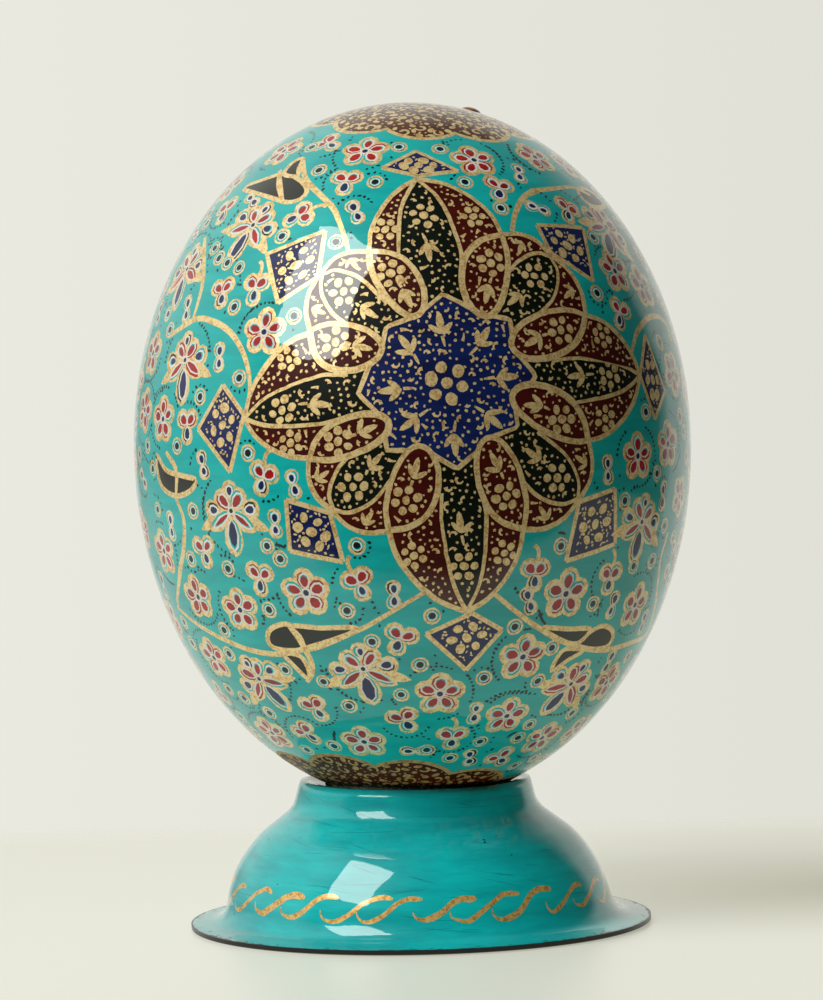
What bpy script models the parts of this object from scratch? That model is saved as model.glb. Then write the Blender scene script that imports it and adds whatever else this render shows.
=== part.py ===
"""A painted ostrich egg resting on a spun metal stand. Metres, +Z up, origin under the stand's middle."""

import math

import bmesh
import bpy
from mathutils import Matrix, Vector

MM = 0.001

# Egg: a turned form whose upper half is a little shorter than its lower half
EGG_RADIUS = 63.0 * MM
EGG_UPPER_HALF = 77.5 * MM
EGG_LOWER_HALF = 80.5 * MM
EGG_RINGS = 30
EGG_SIDES = 56

# Stand: one sheet of metal spun to a bell, with a lip turned in at the top and a flat flange at the foot
SHEET = 1.2 * MM
SEAT_RADIUS = 20.6 * MM
SEAT_HEIGHT = 32.0 * MM
FLANGE_RADIUS = 52.2 * MM
FLANGE_INNER_RADIUS = 46.4 * MM
STAND_SIDES = 56
STEPS_BETWEEN_STATIONS = 2
# Radius and height of the outer face, from the lip down to the flange
OUTER_STATIONS = [
    (24.6 * MM, 33.2 * MM),
    (26.1 * MM, 32.7 * MM),
    (26.6 * MM, 30.4 * MM),
    (27.9 * MM, 26.9 * MM),
    (31.6 * MM, 23.9 * MM),
    (36.1 * MM, 20.3 * MM),
    (40.3 * MM, 14.6 * MM),
    (42.7 * MM, 9.0 * MM),
    (43.9 * MM, 4.6 * MM),
    (46.4 * MM, 1.9 * MM),
    (FLANGE_RADIUS, SHEET),
]

# Plug: a dab of filler that closes the hole through which the egg was emptied
PLUG_OFFSET = Vector((15.6 * MM, 2.0 * MM))
PLUG_RADIUS = 2.0 * MM
PLUG_DEPTH = 3.4 * MM
PLUG_DOME = 1.2 * MM
PLUG_SIDES = 20
PLUG_DOME_RINGS = 4

GAP = 0.3 * MM


def egg_rise(radius):
    """Height of the egg's underside above its lowest point, at a distance from its axis."""
    return EGG_LOWER_HALF * (1 - math.sqrt(1 - (radius / EGG_RADIUS) ** 2))


EGG_BOTTOM = SEAT_HEIGHT + GAP - egg_rise(SEAT_RADIUS)
EGG_WAIST = EGG_BOTTOM + EGG_LOWER_HALF


def clear_scene():
    """Removes every object that the file opened with."""
    for thing in list(bpy.data.objects):
        bpy.data.objects.remove(thing)


def finish(name, colour, roughness, metallic):
    """A Principled material of one colour."""
    material = bpy.data.materials.new(name)
    material.use_nodes = True
    shader = material.node_tree.nodes["Principled BSDF"]
    shader.inputs["Base Color"].default_value = (*colour, 1.0)
    shader.inputs["Roughness"].default_value = roughness
    shader.inputs["Metallic"].default_value = metallic
    return material


def turned(name, profile, sides, material, closed=False):
    """A solid of revolution about Z. The profile is (radius, height) pairs; a closed one makes a ring."""
    mesh = bmesh.new()
    points = [mesh.verts.new((radius, 0.0, height)) for radius, height in profile]
    edges = [mesh.edges.new(pair) for pair in zip(points, points[1:])]
    if closed:
        edges.append(mesh.edges.new((points[-1], points[0])))
    bmesh.ops.spin(
        mesh,
        geom=points + edges,
        axis=(0, 0, 1),
        cent=(0, 0, 0),
        angle=math.tau,
        steps=sides,
        use_merge=True,
    )
    bmesh.ops.remove_doubles(mesh, verts=mesh.verts, dist=1e-6)
    bmesh.ops.recalc_face_normals(mesh, faces=mesh.faces)
    data = bpy.data.meshes.new(name)
    mesh.to_mesh(data)
    mesh.free()
    data.materials.append(material)
    data.shade_smooth()
    data.set_sharp_from_angle(angle=math.radians(40))
    thing = bpy.data.objects.new(name, data)
    bpy.context.scene.collection.objects.link(thing)
    return thing


def smooth_line(stations, steps):
    """Points along a Catmull-Rom curve through the stations, with the stations among them."""
    line = [Vector(station) for station in stations]
    ends = [2 * line[0] - line[1], *line, 2 * line[-1] - line[-2]]
    points = []
    for before, start, stop, after in zip(ends, ends[1:], ends[2:], ends[3:]):
        for step in range(steps):
            t = step / steps
            points.append(
                0.5
                * (
                    2 * start
                    + (stop - before) * t
                    + (2 * before - 5 * start + 4 * stop - after) * t**2
                    + (3 * start - before - 3 * stop + after) * t**3
                )
            )
    return points + [line[-1]]


def offset_inward(line, distance):
    """The line moved towards the axis and downwards, which on the stand is the hollow's side."""
    moved = []
    for index, point in enumerate(line):
        along = line[min(index + 1, len(line) - 1)] - line[max(index - 1, 0)]
        along.normalize()
        moved.append(point + distance * Vector((along.y, -along.x)))
    return moved


def egg_profile():
    """The egg's half outline from its foot to its crown, as two quarter ellipses."""
    points = []
    for ring in range(EGG_RINGS + 1):
        angle = math.pi * (ring / EGG_RINGS - 0.5)
        half = EGG_UPPER_HALF if angle > 0 else EGG_LOWER_HALF
        radius = EGG_RADIUS * math.cos(angle) if 0 < ring < EGG_RINGS else 0.0
        points.append((radius, EGG_WAIST + half * math.sin(angle)))
    return points


def stand_profile():
    """The spun sheet's section: outer face, flange edge, flat underside, inner face and seat lip."""
    outer = smooth_line(OUTER_STATIONS, STEPS_BETWEEN_STATIONS)
    lip_slope = (OUTER_STATIONS[0][1] - SEAT_HEIGHT) / (OUTER_STATIONS[0][0] - SEAT_RADIUS)
    inner = [
        point
        for point in offset_inward(outer, SHEET)
        if point.y > SHEET and point.x < FLANGE_INNER_RADIUS
    ]
    underside = [Vector((FLANGE_RADIUS, 0.0)), Vector((FLANGE_INNER_RADIUS, 0.0))]
    seat_under = Vector((SEAT_RADIUS, SEAT_HEIGHT - SHEET * math.sqrt(1 + lip_slope**2)))
    seat = Vector((SEAT_RADIUS, SEAT_HEIGHT))
    return [tuple(point) for point in [*outer, *underside, *reversed(inner), seat_under, seat]]


def crown_place():
    """Where the plug's middle meets the egg's surface, and the outward direction there."""
    reach = PLUG_OFFSET.length
    rise = EGG_UPPER_HALF * math.sqrt(1 - (reach / EGG_RADIUS) ** 2)
    outward = Vector(
        (
            PLUG_OFFSET.x / EGG_RADIUS**2,
            PLUG_OFFSET.y / EGG_RADIUS**2,
            rise / EGG_UPPER_HALF**2,
        )
    ).normalized()
    place = Vector((PLUG_OFFSET.x, PLUG_OFFSET.y, EGG_WAIST + rise))
    return Matrix.Translation(place) @ outward.to_track_quat("Z", "Y").to_matrix().to_4x4()


def plug_profile():
    """The plug's half outline: a short stem with a low dome."""
    dome = [
        (
            PLUG_RADIUS * math.cos(math.pi / 2 * ring / PLUG_DOME_RINGS),
            PLUG_DOME * math.sin(math.pi / 2 * ring / PLUG_DOME_RINGS),
        )
        for ring in range(PLUG_DOME_RINGS)
    ]
    return [(0.0, -PLUG_DEPTH), (PLUG_RADIUS, -PLUG_DEPTH), *dome, (0.0, PLUG_DOME)]


def drill(thing, place, radius, depth):
    """Cuts a round blind hole into a solid, with its mouth at the place."""
    material = thing.data.materials[0]
    length = 2 * depth
    profile = [(0.0, -depth), (radius, -depth), (radius, length - depth), (0.0, length - depth)]
    cutter = turned(thing.name + "_drill", profile, PLUG_SIDES, material)
    cutter.matrix_world = place
    cutter.hide_render = True
    cutter.display_type = "WIRE"
    cut = thing.modifiers.new("hole", "BOOLEAN")
    cut.operation = "DIFFERENCE"
    cut.solver = "EXACT"
    cut.object = cutter


def main():
    """Builds the stand, the egg on its seat, and the plug in the egg's crown."""
    clear_scene()
    turquoise = finish("stand_paint", (0.02, 0.42, 0.44), 0.25, 0.0)
    lacquer = finish("egg_lacquer", (0.05, 0.55, 0.55), 0.15, 0.0)
    filler = finish("plug_filler", (0.25, 0.09, 0.05), 0.3, 0.0)

    turned("stand", stand_profile(), STAND_SIDES, turquoise, closed=True)
    egg = turned("egg", egg_profile(), EGG_SIDES, lacquer)
    place = crown_place()
    drill(egg, place, PLUG_RADIUS + GAP, PLUG_DEPTH + GAP)
    plug = turned("hole_plug", plug_profile(), PLUG_SIDES, filler)
    plug.matrix_world = place


main()
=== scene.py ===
"""Looks of a painted and lacquered ostrich egg that rests on a bell-shaped spun stand.

The egg and the stand are each one closed mesh whose faces are cut along every painted outline, so that each
stroke of paint is a set of faces with its own material. Ornament is worked out in millimetres and turned to
metres at the end.
"""

import logging
import math
from dataclasses import dataclass, field
from enum import Enum

import bpy
import numpy as np
from mathutils import Matrix, Vector
from mathutils.geometry import delaunay_2d_cdt


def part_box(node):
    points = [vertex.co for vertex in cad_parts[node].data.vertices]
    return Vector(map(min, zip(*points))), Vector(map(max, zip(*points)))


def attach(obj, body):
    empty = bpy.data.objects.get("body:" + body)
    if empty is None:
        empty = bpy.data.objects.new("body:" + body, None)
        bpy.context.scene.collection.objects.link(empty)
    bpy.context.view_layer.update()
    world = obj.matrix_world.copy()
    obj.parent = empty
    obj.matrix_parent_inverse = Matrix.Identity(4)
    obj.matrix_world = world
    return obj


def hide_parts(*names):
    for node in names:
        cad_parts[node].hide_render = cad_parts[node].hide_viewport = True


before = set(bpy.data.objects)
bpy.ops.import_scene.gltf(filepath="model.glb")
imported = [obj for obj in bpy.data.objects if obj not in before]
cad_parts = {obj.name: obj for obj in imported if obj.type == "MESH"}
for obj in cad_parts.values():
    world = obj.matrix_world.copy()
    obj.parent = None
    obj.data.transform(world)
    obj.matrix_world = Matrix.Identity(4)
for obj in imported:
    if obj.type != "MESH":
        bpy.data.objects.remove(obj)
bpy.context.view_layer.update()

MM = 0.001
TAU = math.tau
BODY = "root"
log = logging.getLogger("painted_egg")


class Paint(Enum):
    """Every paint on the object; the value is the material's name."""

    TURQUOISE = "turquoise_ground"
    GOLD = "gold_paint"
    MAROON = "maroon_paint"
    LEAF = "dark_leaf_paint"
    NAVY = "navy_ground"
    PETAL_BLUE = "blue_petal"
    PETAL_RED = "red_petal"
    WHITE = "white_line"
    INK = "ink_dot"
    CAP_BROWN = "brown_cap"
    STAND_BLUE = "stand_turquoise"
    STAND_SCRATCH = "stand_scratch"
    STAND_GOLD = "stand_gold"
    STAND_BLACK = "stand_black"
    FILLER = "brown_filler"
    # The foot cap's brown and gold are darker copies of the cap's brown and the gold, painted as shade under
    # the egg.
    FOOT_BROWN = "brown_foot_cap_painted_shade"
    FOOT_GOLD = "foot_cap_gold_painted_shade"


class Blossom(Enum):
    """The kinds of small flower in the field."""

    FIVE = "five red petals"
    ORCHID = "long-petalled flower"
    TRIPLE = "two red petals and a blue one"
    PAIR = "two blue petals"
    BUD = "one dark dot in a white ring"


def smooth_path(stations: np.ndarray, spacing: float, closed: bool = False) -> np.ndarray:
    """Draws a Catmull-Rom curve through stations and steps along it evenly.

    Args:
        stations: points in order, one a row.
        spacing: distance between the returned points.
        closed: whether the last station leads back to the first.

    Returns:
        The points, with both ends of an open curve among them.
    """
    line = np.asarray(stations, float)
    if closed:
        ends = np.concatenate((line[-1:], line, line[:2]))
    else:
        ends = np.concatenate((2 * line[:1] - line[1:2], line, 2 * line[-1:] - line[-2:-1]))
    share = np.linspace(0.0, 1.0, 12, endpoint=False)[:, None]
    parts = []
    for before, start, stop, after in zip(ends, ends[1:], ends[2:], ends[3:]):
        bend = (2 * before - 5 * start + 4 * stop - after) * share**2
        twist = (3 * start - before - 3 * stop + after) * share**3
        parts.append(0.5 * (2 * start + (stop - before) * share + bend + twist))
    parts.append(line[:1] if closed else line[-1:])
    return even_steps(np.concatenate(parts), spacing)[: -1 if closed else None]


def even_steps(line: np.ndarray, spacing: float) -> np.ndarray:
    """Steps along a polyline at an even spacing, with both ends kept.

    Args:
        line: points in order, one a row.
        spacing: wanted distance between points.

    Returns:
        The new points.
    """
    lengths = np.linalg.norm(np.diff(line, axis=0), axis=1)
    along = np.concatenate(([0.0], np.cumsum(lengths)))
    wanted = np.linspace(0.0, along[-1], max(2, round(along[-1] / spacing) + 1))
    return np.stack([np.interp(wanted, along, column) for column in line.T], axis=1)


def turned_flat(points: np.ndarray, degrees: float) -> np.ndarray:
    """Flat points turned counter-clockwise about the origin."""
    angle = math.radians(degrees)
    turn = np.array([[math.cos(angle), math.sin(angle)], [-math.sin(angle), math.cos(angle)]])
    return points @ turn


def polar(reach: float | np.ndarray, angles: np.ndarray) -> np.ndarray:
    """Flat points at a distance and at angles in radians from the first axis."""
    return np.stack([reach * np.cos(angles), reach * np.sin(angles)], axis=1)


def signed_area(outline: np.ndarray) -> float:
    """Twice the area inside a flat outline, below 0 where it runs clockwise."""
    x, y = outline.T
    return float((x * np.roll(y, -1) - y * np.roll(x, -1)).sum())


def in_order(outline: np.ndarray) -> np.ndarray:
    """The outline run round counter-clockwise."""
    return outline if signed_area(outline) > 0 else outline[::-1]


def quads(left: np.ndarray, right: np.ndarray, closed: bool = False) -> list[np.ndarray]:
    """The four-cornered pieces of a strip between two flat lines.

    Args:
        left: one line's points.
        right: the other line's points, as many.
        closed: whether the strip's end joins its start.

    Returns:
        The corners of each piece, counter-clockwise.
    """
    found = []
    for step in range(len(left) - (not closed)):
        after = (step + 1) % len(left)
        corners = np.stack([left[step], right[step], right[after], left[after]])
        offset = corners - corners.mean(axis=0)
        found.append(corners[np.argsort(np.arctan2(offset[:, 1], offset[:, 0]))])
    return found


def inside_edge(spots: np.ndarray, edge: np.ndarray, margin: float) -> np.ndarray:
    """Finds the flat spots that lie inside an edge that runs round the origin.

    Args:
        spots: flat points.
        edge: points of the edge.
        margin: how far inside it a spot has to be.

    Returns:
        True for each spot inside.
    """
    edge_bearing = np.arctan2(edge[:, 1], edge[:, 0])
    order = np.argsort(edge_bearing)
    reach = np.linalg.norm(edge, axis=1)[order]
    limit = np.interp(np.arctan2(spots[:, 1], spots[:, 0]), edge_bearing[order], reach, period=TAU)
    return np.linalg.norm(spots, axis=1) < limit - margin


def in_scene(name: str, data: bpy.types.ID) -> bpy.types.Object:
    """Makes an object of a mesh, light or camera and puts it in the scene."""
    thing = bpy.data.objects.new(name, data)
    bpy.context.scene.collection.objects.link(thing)
    return thing


def polar_flat(stations: np.ndarray) -> np.ndarray:
    """Flat points from rows of distance and bearing in degrees."""
    return polar(stations[:, 0], np.radians(stations[:, 1]))


@dataclass
class TurnedForm:
    """A surface of revolution about Z with a flat chart that keeps angles. Lengths are in millimetres.

    The chart's polar angle is the bearing about Z, and its distance grows along the profile.
    """

    radius: np.ndarray
    height: np.ndarray
    along: np.ndarray = field(init=False)
    log_reach: np.ndarray = field(init=False)
    lean: np.ndarray = field(init=False)

    def __post_init__(self) -> None:
        """Measures the profile and lays out the chart."""
        steps = np.hypot(np.diff(self.radius), np.diff(self.height))
        self.along = np.concatenate(([0.0], np.cumsum(steps)))
        middle = (self.radius[1:] + self.radius[:-1]) / 2
        start = math.log(self.radius[0])
        self.log_reach = start + np.concatenate(([0.0], np.cumsum(steps / middle)))
        across = np.gradient(self.radius, self.along)
        down = np.gradient(self.height, self.along)
        self.lean = np.stack([-down, across]) / np.hypot(across, down)

    def chart(self, bearing: np.ndarray, along: np.ndarray) -> np.ndarray:
        """Chart points of surface points given by bearing in radians and distance along the profile."""
        reach = np.exp(np.interp(along, self.along, self.log_reach))
        return polar(reach, bearing)

    def lift(self, chart: np.ndarray) -> tuple[np.ndarray, np.ndarray]:
        """Finds the surface points and outward normals of chart points.

        Args:
            chart: chart points, one a row.

        Returns:
            Points and unit normals, one a row.
        """
        bearing = np.arctan2(chart[:, 1], chart[:, 0])
        reach = np.log(np.maximum(np.hypot(chart[:, 0], chart[:, 1]), 1e-6))
        radius = np.interp(reach, self.log_reach, self.radius)
        height = np.interp(reach, self.log_reach, self.height)
        outward = np.interp(reach, self.log_reach, self.lean[0])
        upward = np.interp(reach, self.log_reach, self.lean[1])
        side = polar(1.0, bearing)
        points = np.column_stack((side * radius[:, None], height))
        normals = np.column_stack((side * outward[:, None], upward))
        return points, normals / np.linalg.norm(normals, axis=1, keepdims=True)


EGG_LOW, EGG_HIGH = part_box("egg")
LOWER_SHARE = 80.5 / 158.0
FOOT_HOLE = 6.0
FORM_STEPS = 4000


@dataclass
class EggForm(TurnedForm):
    """The egg's outer face: two half ellipsoids that meet at the waist."""

    girth: float = 0.0
    waist: float = 0.0
    upper: float = 0.0
    lower: float = 0.0
    angle: np.ndarray = field(default_factory=lambda: np.zeros(0))

    @classmethod
    def from_frame(cls) -> "EggForm":
        """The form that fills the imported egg's box."""
        girth = (EGG_HIGH.x - EGG_LOW.x) / 2 / MM
        tall = (EGG_HIGH.z - EGG_LOW.z) / MM
        lower = tall * LOWER_SHARE
        upper = tall - lower
        waist = EGG_LOW.z / MM + lower
        angle = np.linspace(math.pi / 2 - 1e-4, -math.acos(FOOT_HOLE / girth), FORM_STEPS)
        half = np.where(angle > 0, upper, lower)
        radius = girth * np.cos(angle)
        height = waist + half * np.sin(angle)
        return cls(radius, height, girth=girth, waist=waist, upper=upper, lower=lower, angle=angle)

    def halves(self, points: np.ndarray) -> np.ndarray:
        """The half height that applies at each point."""
        return np.where(points[:, 2] > self.waist, self.upper, self.lower)

    def slope(self, points: np.ndarray) -> np.ndarray:
        """Outward directions at points, not of unit length."""
        half = self.halves(points)
        flat = points[:, :2] / self.girth**2
        return np.column_stack((flat, (points[:, 2] - self.waist) / half**2))

    def normals(self, points: np.ndarray) -> np.ndarray:
        """Unit outward normals at points."""
        slope = self.slope(points)
        return slope / np.linalg.norm(slope, axis=1, keepdims=True)

    def settle(self, points: np.ndarray) -> np.ndarray:
        """Points moved onto the egg's face along its slope."""
        for _ in range(2):
            slope = self.slope(points)
            half = self.halves(points)
            flat = (points[:, :2] ** 2).sum(axis=1) / self.girth**2
            excess = flat + ((points[:, 2] - self.waist) / half) ** 2 - 1
            points = points - slope * (excess / (2 * (slope**2).sum(axis=1)))[:, None]
        return points

    def chart_of(self, points: np.ndarray) -> np.ndarray:
        """Chart points of points on the egg's face."""
        bearing = np.arctan2(points[:, 1], points[:, 0])
        rise = (points[:, 2] - self.waist) / self.halves(points)
        angle = np.arctan2(rise, np.hypot(points[:, 0], points[:, 1]) / self.girth)
        reach = np.exp(np.interp(-angle, -self.angle, self.log_reach))
        return polar(reach, bearing)

    def at(self, longitude: float, height: float) -> np.ndarray:
        """The face's point at a longitude in degrees from the front and a height."""
        half = self.upper if height > self.waist else self.lower
        radius = self.girth * math.sqrt(max(0.0, 1 - ((height - self.waist) / half) ** 2))
        turn = math.radians(longitude)
        return np.array([radius * math.sin(turn), -radius * math.cos(turn), height])


WALK_STEP = 2.5
LEAST_AREA = 1e-12


@dataclass(frozen=True)
class Patch:
    """A flat sheet laid on the egg, with its middle and its two directions there."""

    form: EggForm
    middle: np.ndarray
    east: np.ndarray
    north: np.ndarray

    @classmethod
    def on(cls, form: EggForm, middle: np.ndarray, turn: float = 0.0) -> "Patch":
        """Lays a sheet on the egg.

        Args:
            form: the egg's face.
            middle: point of the face under the sheet's origin.
            turn: degrees that the sheet is turned counter-clockwise from upright.

        Returns:
            The sheet.
        """
        normal = form.normals(middle[None])[0]
        east = np.cross((0.0, 0.0, 1.0), normal)
        east /= np.linalg.norm(east)
        north = np.cross(normal, east)
        angle = math.radians(turn)
        turned_east = math.cos(angle) * east + math.sin(angle) * north
        return cls(form, middle, turned_east, np.cross(normal, turned_east))

    def lay(self, flat: np.ndarray) -> np.ndarray:
        """Points of the sheet on the egg, each reached by walking straight over the face."""
        if len(flat) == 0:
            return np.empty((0, 3))
        reach = np.linalg.norm(flat, axis=1, keepdims=True)
        way = flat / np.maximum(reach, 1e-9)
        heading = way[:, :1] * self.east + way[:, 1:] * self.north
        steps = max(1, math.ceil(float(reach.max()) / WALK_STEP))
        points = np.repeat(self.middle[None], len(flat), axis=0)
        for _ in range(steps):
            points = self.form.settle(points + heading * reach / steps)
            normals = self.form.normals(points)
            heading = heading - (heading * normals).sum(axis=1, keepdims=True) * normals
            heading /= np.maximum(np.linalg.norm(heading, axis=1, keepdims=True), 1e-9)
        return points

    def read(self, goal: np.ndarray) -> tuple[float, float]:
        """Distance over the face and bearing in degrees from the middle to another point of the face."""
        share = np.linspace(0.0, 1.0, 40)[:, None]
        chord = self.middle * (1 - share) + goal * share
        heart = np.array([0.0, 0.0, self.form.waist])
        path = chord
        for _ in range(3):
            path = self.form.settle(heart + (path - heart) * self.stretch(path, heart))
        distance = np.linalg.norm(np.diff(path, axis=0), axis=1).sum()
        offset = goal - self.middle
        return float(distance), math.degrees(math.atan2(offset @ self.north, offset @ self.east))

    def stretch(self, points: np.ndarray, heart: np.ndarray) -> np.ndarray:
        """How far each point is scaled from the egg's heart to reach its face."""
        offset = points - heart
        half = self.form.halves(points)
        flat = (offset[:, :2] ** 2).sum(axis=1) / self.form.girth**2
        return 1 / np.sqrt(flat + (offset[:, 2] / half) ** 2)[:, None]


@dataclass
class PaintedSkin:
    """A turned face that is cut into triangles along the outlines painted on it.

    Outlines that come later lie over those that come earlier.
    """

    form: TurnedForm
    base: Paint
    spacing: float
    rim_sides: int
    open_middle: bool = False
    outlines: list[np.ndarray] = field(default_factory=list)
    paints: list[Paint] = field(default_factory=list)

    def cover(self, chart: np.ndarray, paint: Paint) -> None:
        """Paints inside one outline of chart points."""
        if abs(signed_area(chart)) > LEAST_AREA:
            self.outlines.append(in_order(chart))
            self.paints.append(paint)

    def rim(self, along: float) -> np.ndarray:
        """A ring of chart points at a distance along the profile."""
        bearings = np.arange(self.rim_sides) * TAU / self.rim_sides
        return self.form.chart(bearings, np.full(self.rim_sides, along))

    def grid(self) -> np.ndarray:
        """Chart points spread evenly over the face, which give it its curve."""
        last = self.form.along[-1]
        rows = max(2, round(last / self.spacing))
        found = [] if self.open_middle else [np.zeros((1, 2))]
        for row in range(1, rows):
            along = last * row / rows
            radius = np.interp(along, self.form.along, self.form.radius)
            count = max(6, round(TAU * radius / self.spacing))
            bearings = (np.arange(count) + 0.5 * (row % 2)) * TAU / count + 1e-3
            found.append(self.form.chart(bearings, np.full(count, along)))
        return np.concatenate(found)

    def cut(self) -> "CutSkin":
        """Cuts the face along every outline.

        Returns:
            The triangles with the paint on each.
        """
        rims = [self.rim(self.form.along[-1])]
        if self.open_middle:
            rims.insert(0, self.rim(0.0))
        places = [*rims, *self.outlines, self.grid()]
        counts = [len(place) for place in places]
        starts = np.concatenate(([0], np.cumsum(counts)))
        ringed = len(rims) + len(self.outlines)
        faces = [list(range(starts[n], starts[n] + counts[n])) for n in range(ringed)]
        everywhere = np.concatenate(places)
        points = [Vector(pair) for pair in everywhere.tolist()]
        verts, _, triangles, sources, _, owners = delaunay_2d_cdt(points, [], faces, 0, 1e-7, True)
        slot_of = {paint: n for n, paint in enumerate(Paint)}
        first = len(rims)
        worn = [slot_of[self.base]] * first + [slot_of[paint] for paint in self.paints]
        hole = 0 if self.open_middle else -1
        corners, slots = [], []
        for triangle, owner in zip(triangles, owners):
            if hole not in owner:
                corners.append(triangle)
                slots.append(worn[max(owner, default=first - 1)])
        placed = {source: new for new, old in enumerate(sources) for source in old}
        rings = [[placed[starts[n] + step] for step in range(counts[n])] for n in range(first)]
        inner = {placed[number] for number in range(starts[ringed], starts[-1])}
        chart = np.array([vert[:] for vert in verts], float)
        return CutSkin(chart, np.array(corners), np.array(slots), rings).simpler(inner)


Side = tuple[int, int]


@dataclass
class CutSkin:
    """A painted face cut into triangles, with the paint's number on each and the rings at its rims."""

    chart: np.ndarray
    corners: np.ndarray
    slots: np.ndarray
    rings: list[list[int]]
    straight: float = 0.012

    def simpler(self, inner: set[int]) -> "CutSkin":
        """Cuts the face again, only where unlike paints meet.

        Args:
            inner: numbers of the vertices that give the face its curve.

        Returns:
            The face with fewer triangles.
        """
        kept = inner.union(*self.rings)
        ways = self.borders(kept)
        used = sorted(kept.union(ways))
        number = {old: new for new, old in enumerate(used)}
        edges = [(a, b) for a, onward in ways.items() for b in onward if a < b]
        points = [Vector(pair) for pair in self.chart[used].tolist()]
        given = [(number[a], number[b]) for a, b in edges]
        verts, links, triangles, sources, origins, _ = delaunay_2d_cdt(points, given, [], 0, 1e-7, True)
        left_paint: dict[Side, int] = {}
        lengths: dict[Side, float] = {}
        for (start, stop), origin in zip(links, origins):
            if origin:
                a, b = edges[origin[0]]
                if (verts[stop] - verts[start]) @ (points[number[b]] - points[number[a]]) < 0:
                    a, b = b, a
                left_paint[start, stop] = ways[a][b]
                left_paint[stop, start] = ways[b][a]
                lengths[start, stop] = lengths[stop, start] = (verts[stop] - verts[start]).length
        slots = self.painted(triangles, left_paint, lengths)
        placed = {source: new for new, old in enumerate(sources) for source in old}
        rings = [[placed[number[vertex]] for vertex in ring] for ring in self.rings]
        chart = np.array([vert[:] for vert in verts], float)
        return CutSkin(chart, np.array(triangles)[slots >= 0], slots[slots >= 0], rings)

    def borders(self, kept: set[int]) -> dict[int, dict[int, int]]:
        """Finds the edges between unlike paints, with the vertices left out where such edges run straight on.

        Args:
            kept: numbers of the vertices that stay.

        Returns:
            For each vertex the vertices it leads to, with the paint on the left, or -1 where the face ends.
        """
        total = len(self.chart)
        directed = np.concatenate([self.corners[:, [n, (n + 1) % 3]] for n in range(3)])
        paint = np.tile(self.slots, 3)
        keys, edge_of = np.unique(directed.min(axis=1) * total + directed.max(axis=1), return_inverse=True)
        forward = directed[:, 0] < directed[:, 1]
        left, right = np.full(len(keys), -1), np.full(len(keys), -1)
        left[edge_of[forward]] = paint[forward]
        right[edge_of[~forward]] = paint[~forward]
        seen = left != right
        ways: dict[int, dict[int, int]] = {}
        for key, one, other in zip(keys[seen].tolist(), left[seen].tolist(), right[seen].tolist()):
            a, b = divmod(key, total)
            ways.setdefault(a, {})[b] = one
            ways.setdefault(b, {})[a] = other
        spots = self.chart.tolist()
        for vertex in list(ways):
            if len(ways[vertex]) != 2 or vertex in kept:
                continue
            (a, to_a), (b, to_b) = ways[vertex].items()
            (ax, ay), (bx, by), (x, y) = spots[a], spots[b], spots[vertex]
            aside = abs((bx - ax) * (y - ay) - (by - ay) * (x - ax))
            if b in ways[a] or aside > self.straight * ((bx - ax) ** 2 + (by - ay) ** 2):
                continue
            del ways[vertex], ways[a][vertex], ways[b][vertex]
            ways[a][b], ways[b][a] = to_b, to_a
        return ways

    def painted(self, triangles: list, left_paint: dict[Side, int], lengths: dict[Side, float]) -> np.ndarray:
        """Gives each region between the borders the paint that most of its border asks for.

        Args:
            triangles: corners of each triangle, counter-clockwise.
            left_paint: paint on the left of each border edge.
            lengths: length of each border edge.

        Returns:
            The paint's number on each triangle, or -1 outside the face.
        """
        sides = [((a, b), (b, c), (c, a)) for a, b, c in triangles]
        owner = {side: number for number, three in enumerate(sides) for side in three}
        slots = [-2] * len(sides)
        for first in range(len(sides)):
            if slots[first] != -2:
                continue
            region, votes = [first], {-1: 0.0}
            slots[first] = -1
            for number in region:
                for side in sides[number]:
                    other = owner.get((side[1], side[0]), number)
                    if side in left_paint:
                        paint = left_paint[side]
                        votes[paint] = votes.get(paint, 0.0) + lengths[side]
                    elif slots[other] == -2:
                        slots[other] = -1
                        region.append(other)
            chosen = max(votes, key=lambda paint: votes[paint])
            for number in region:
                slots[number] = chosen
        return np.array(slots)


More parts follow.
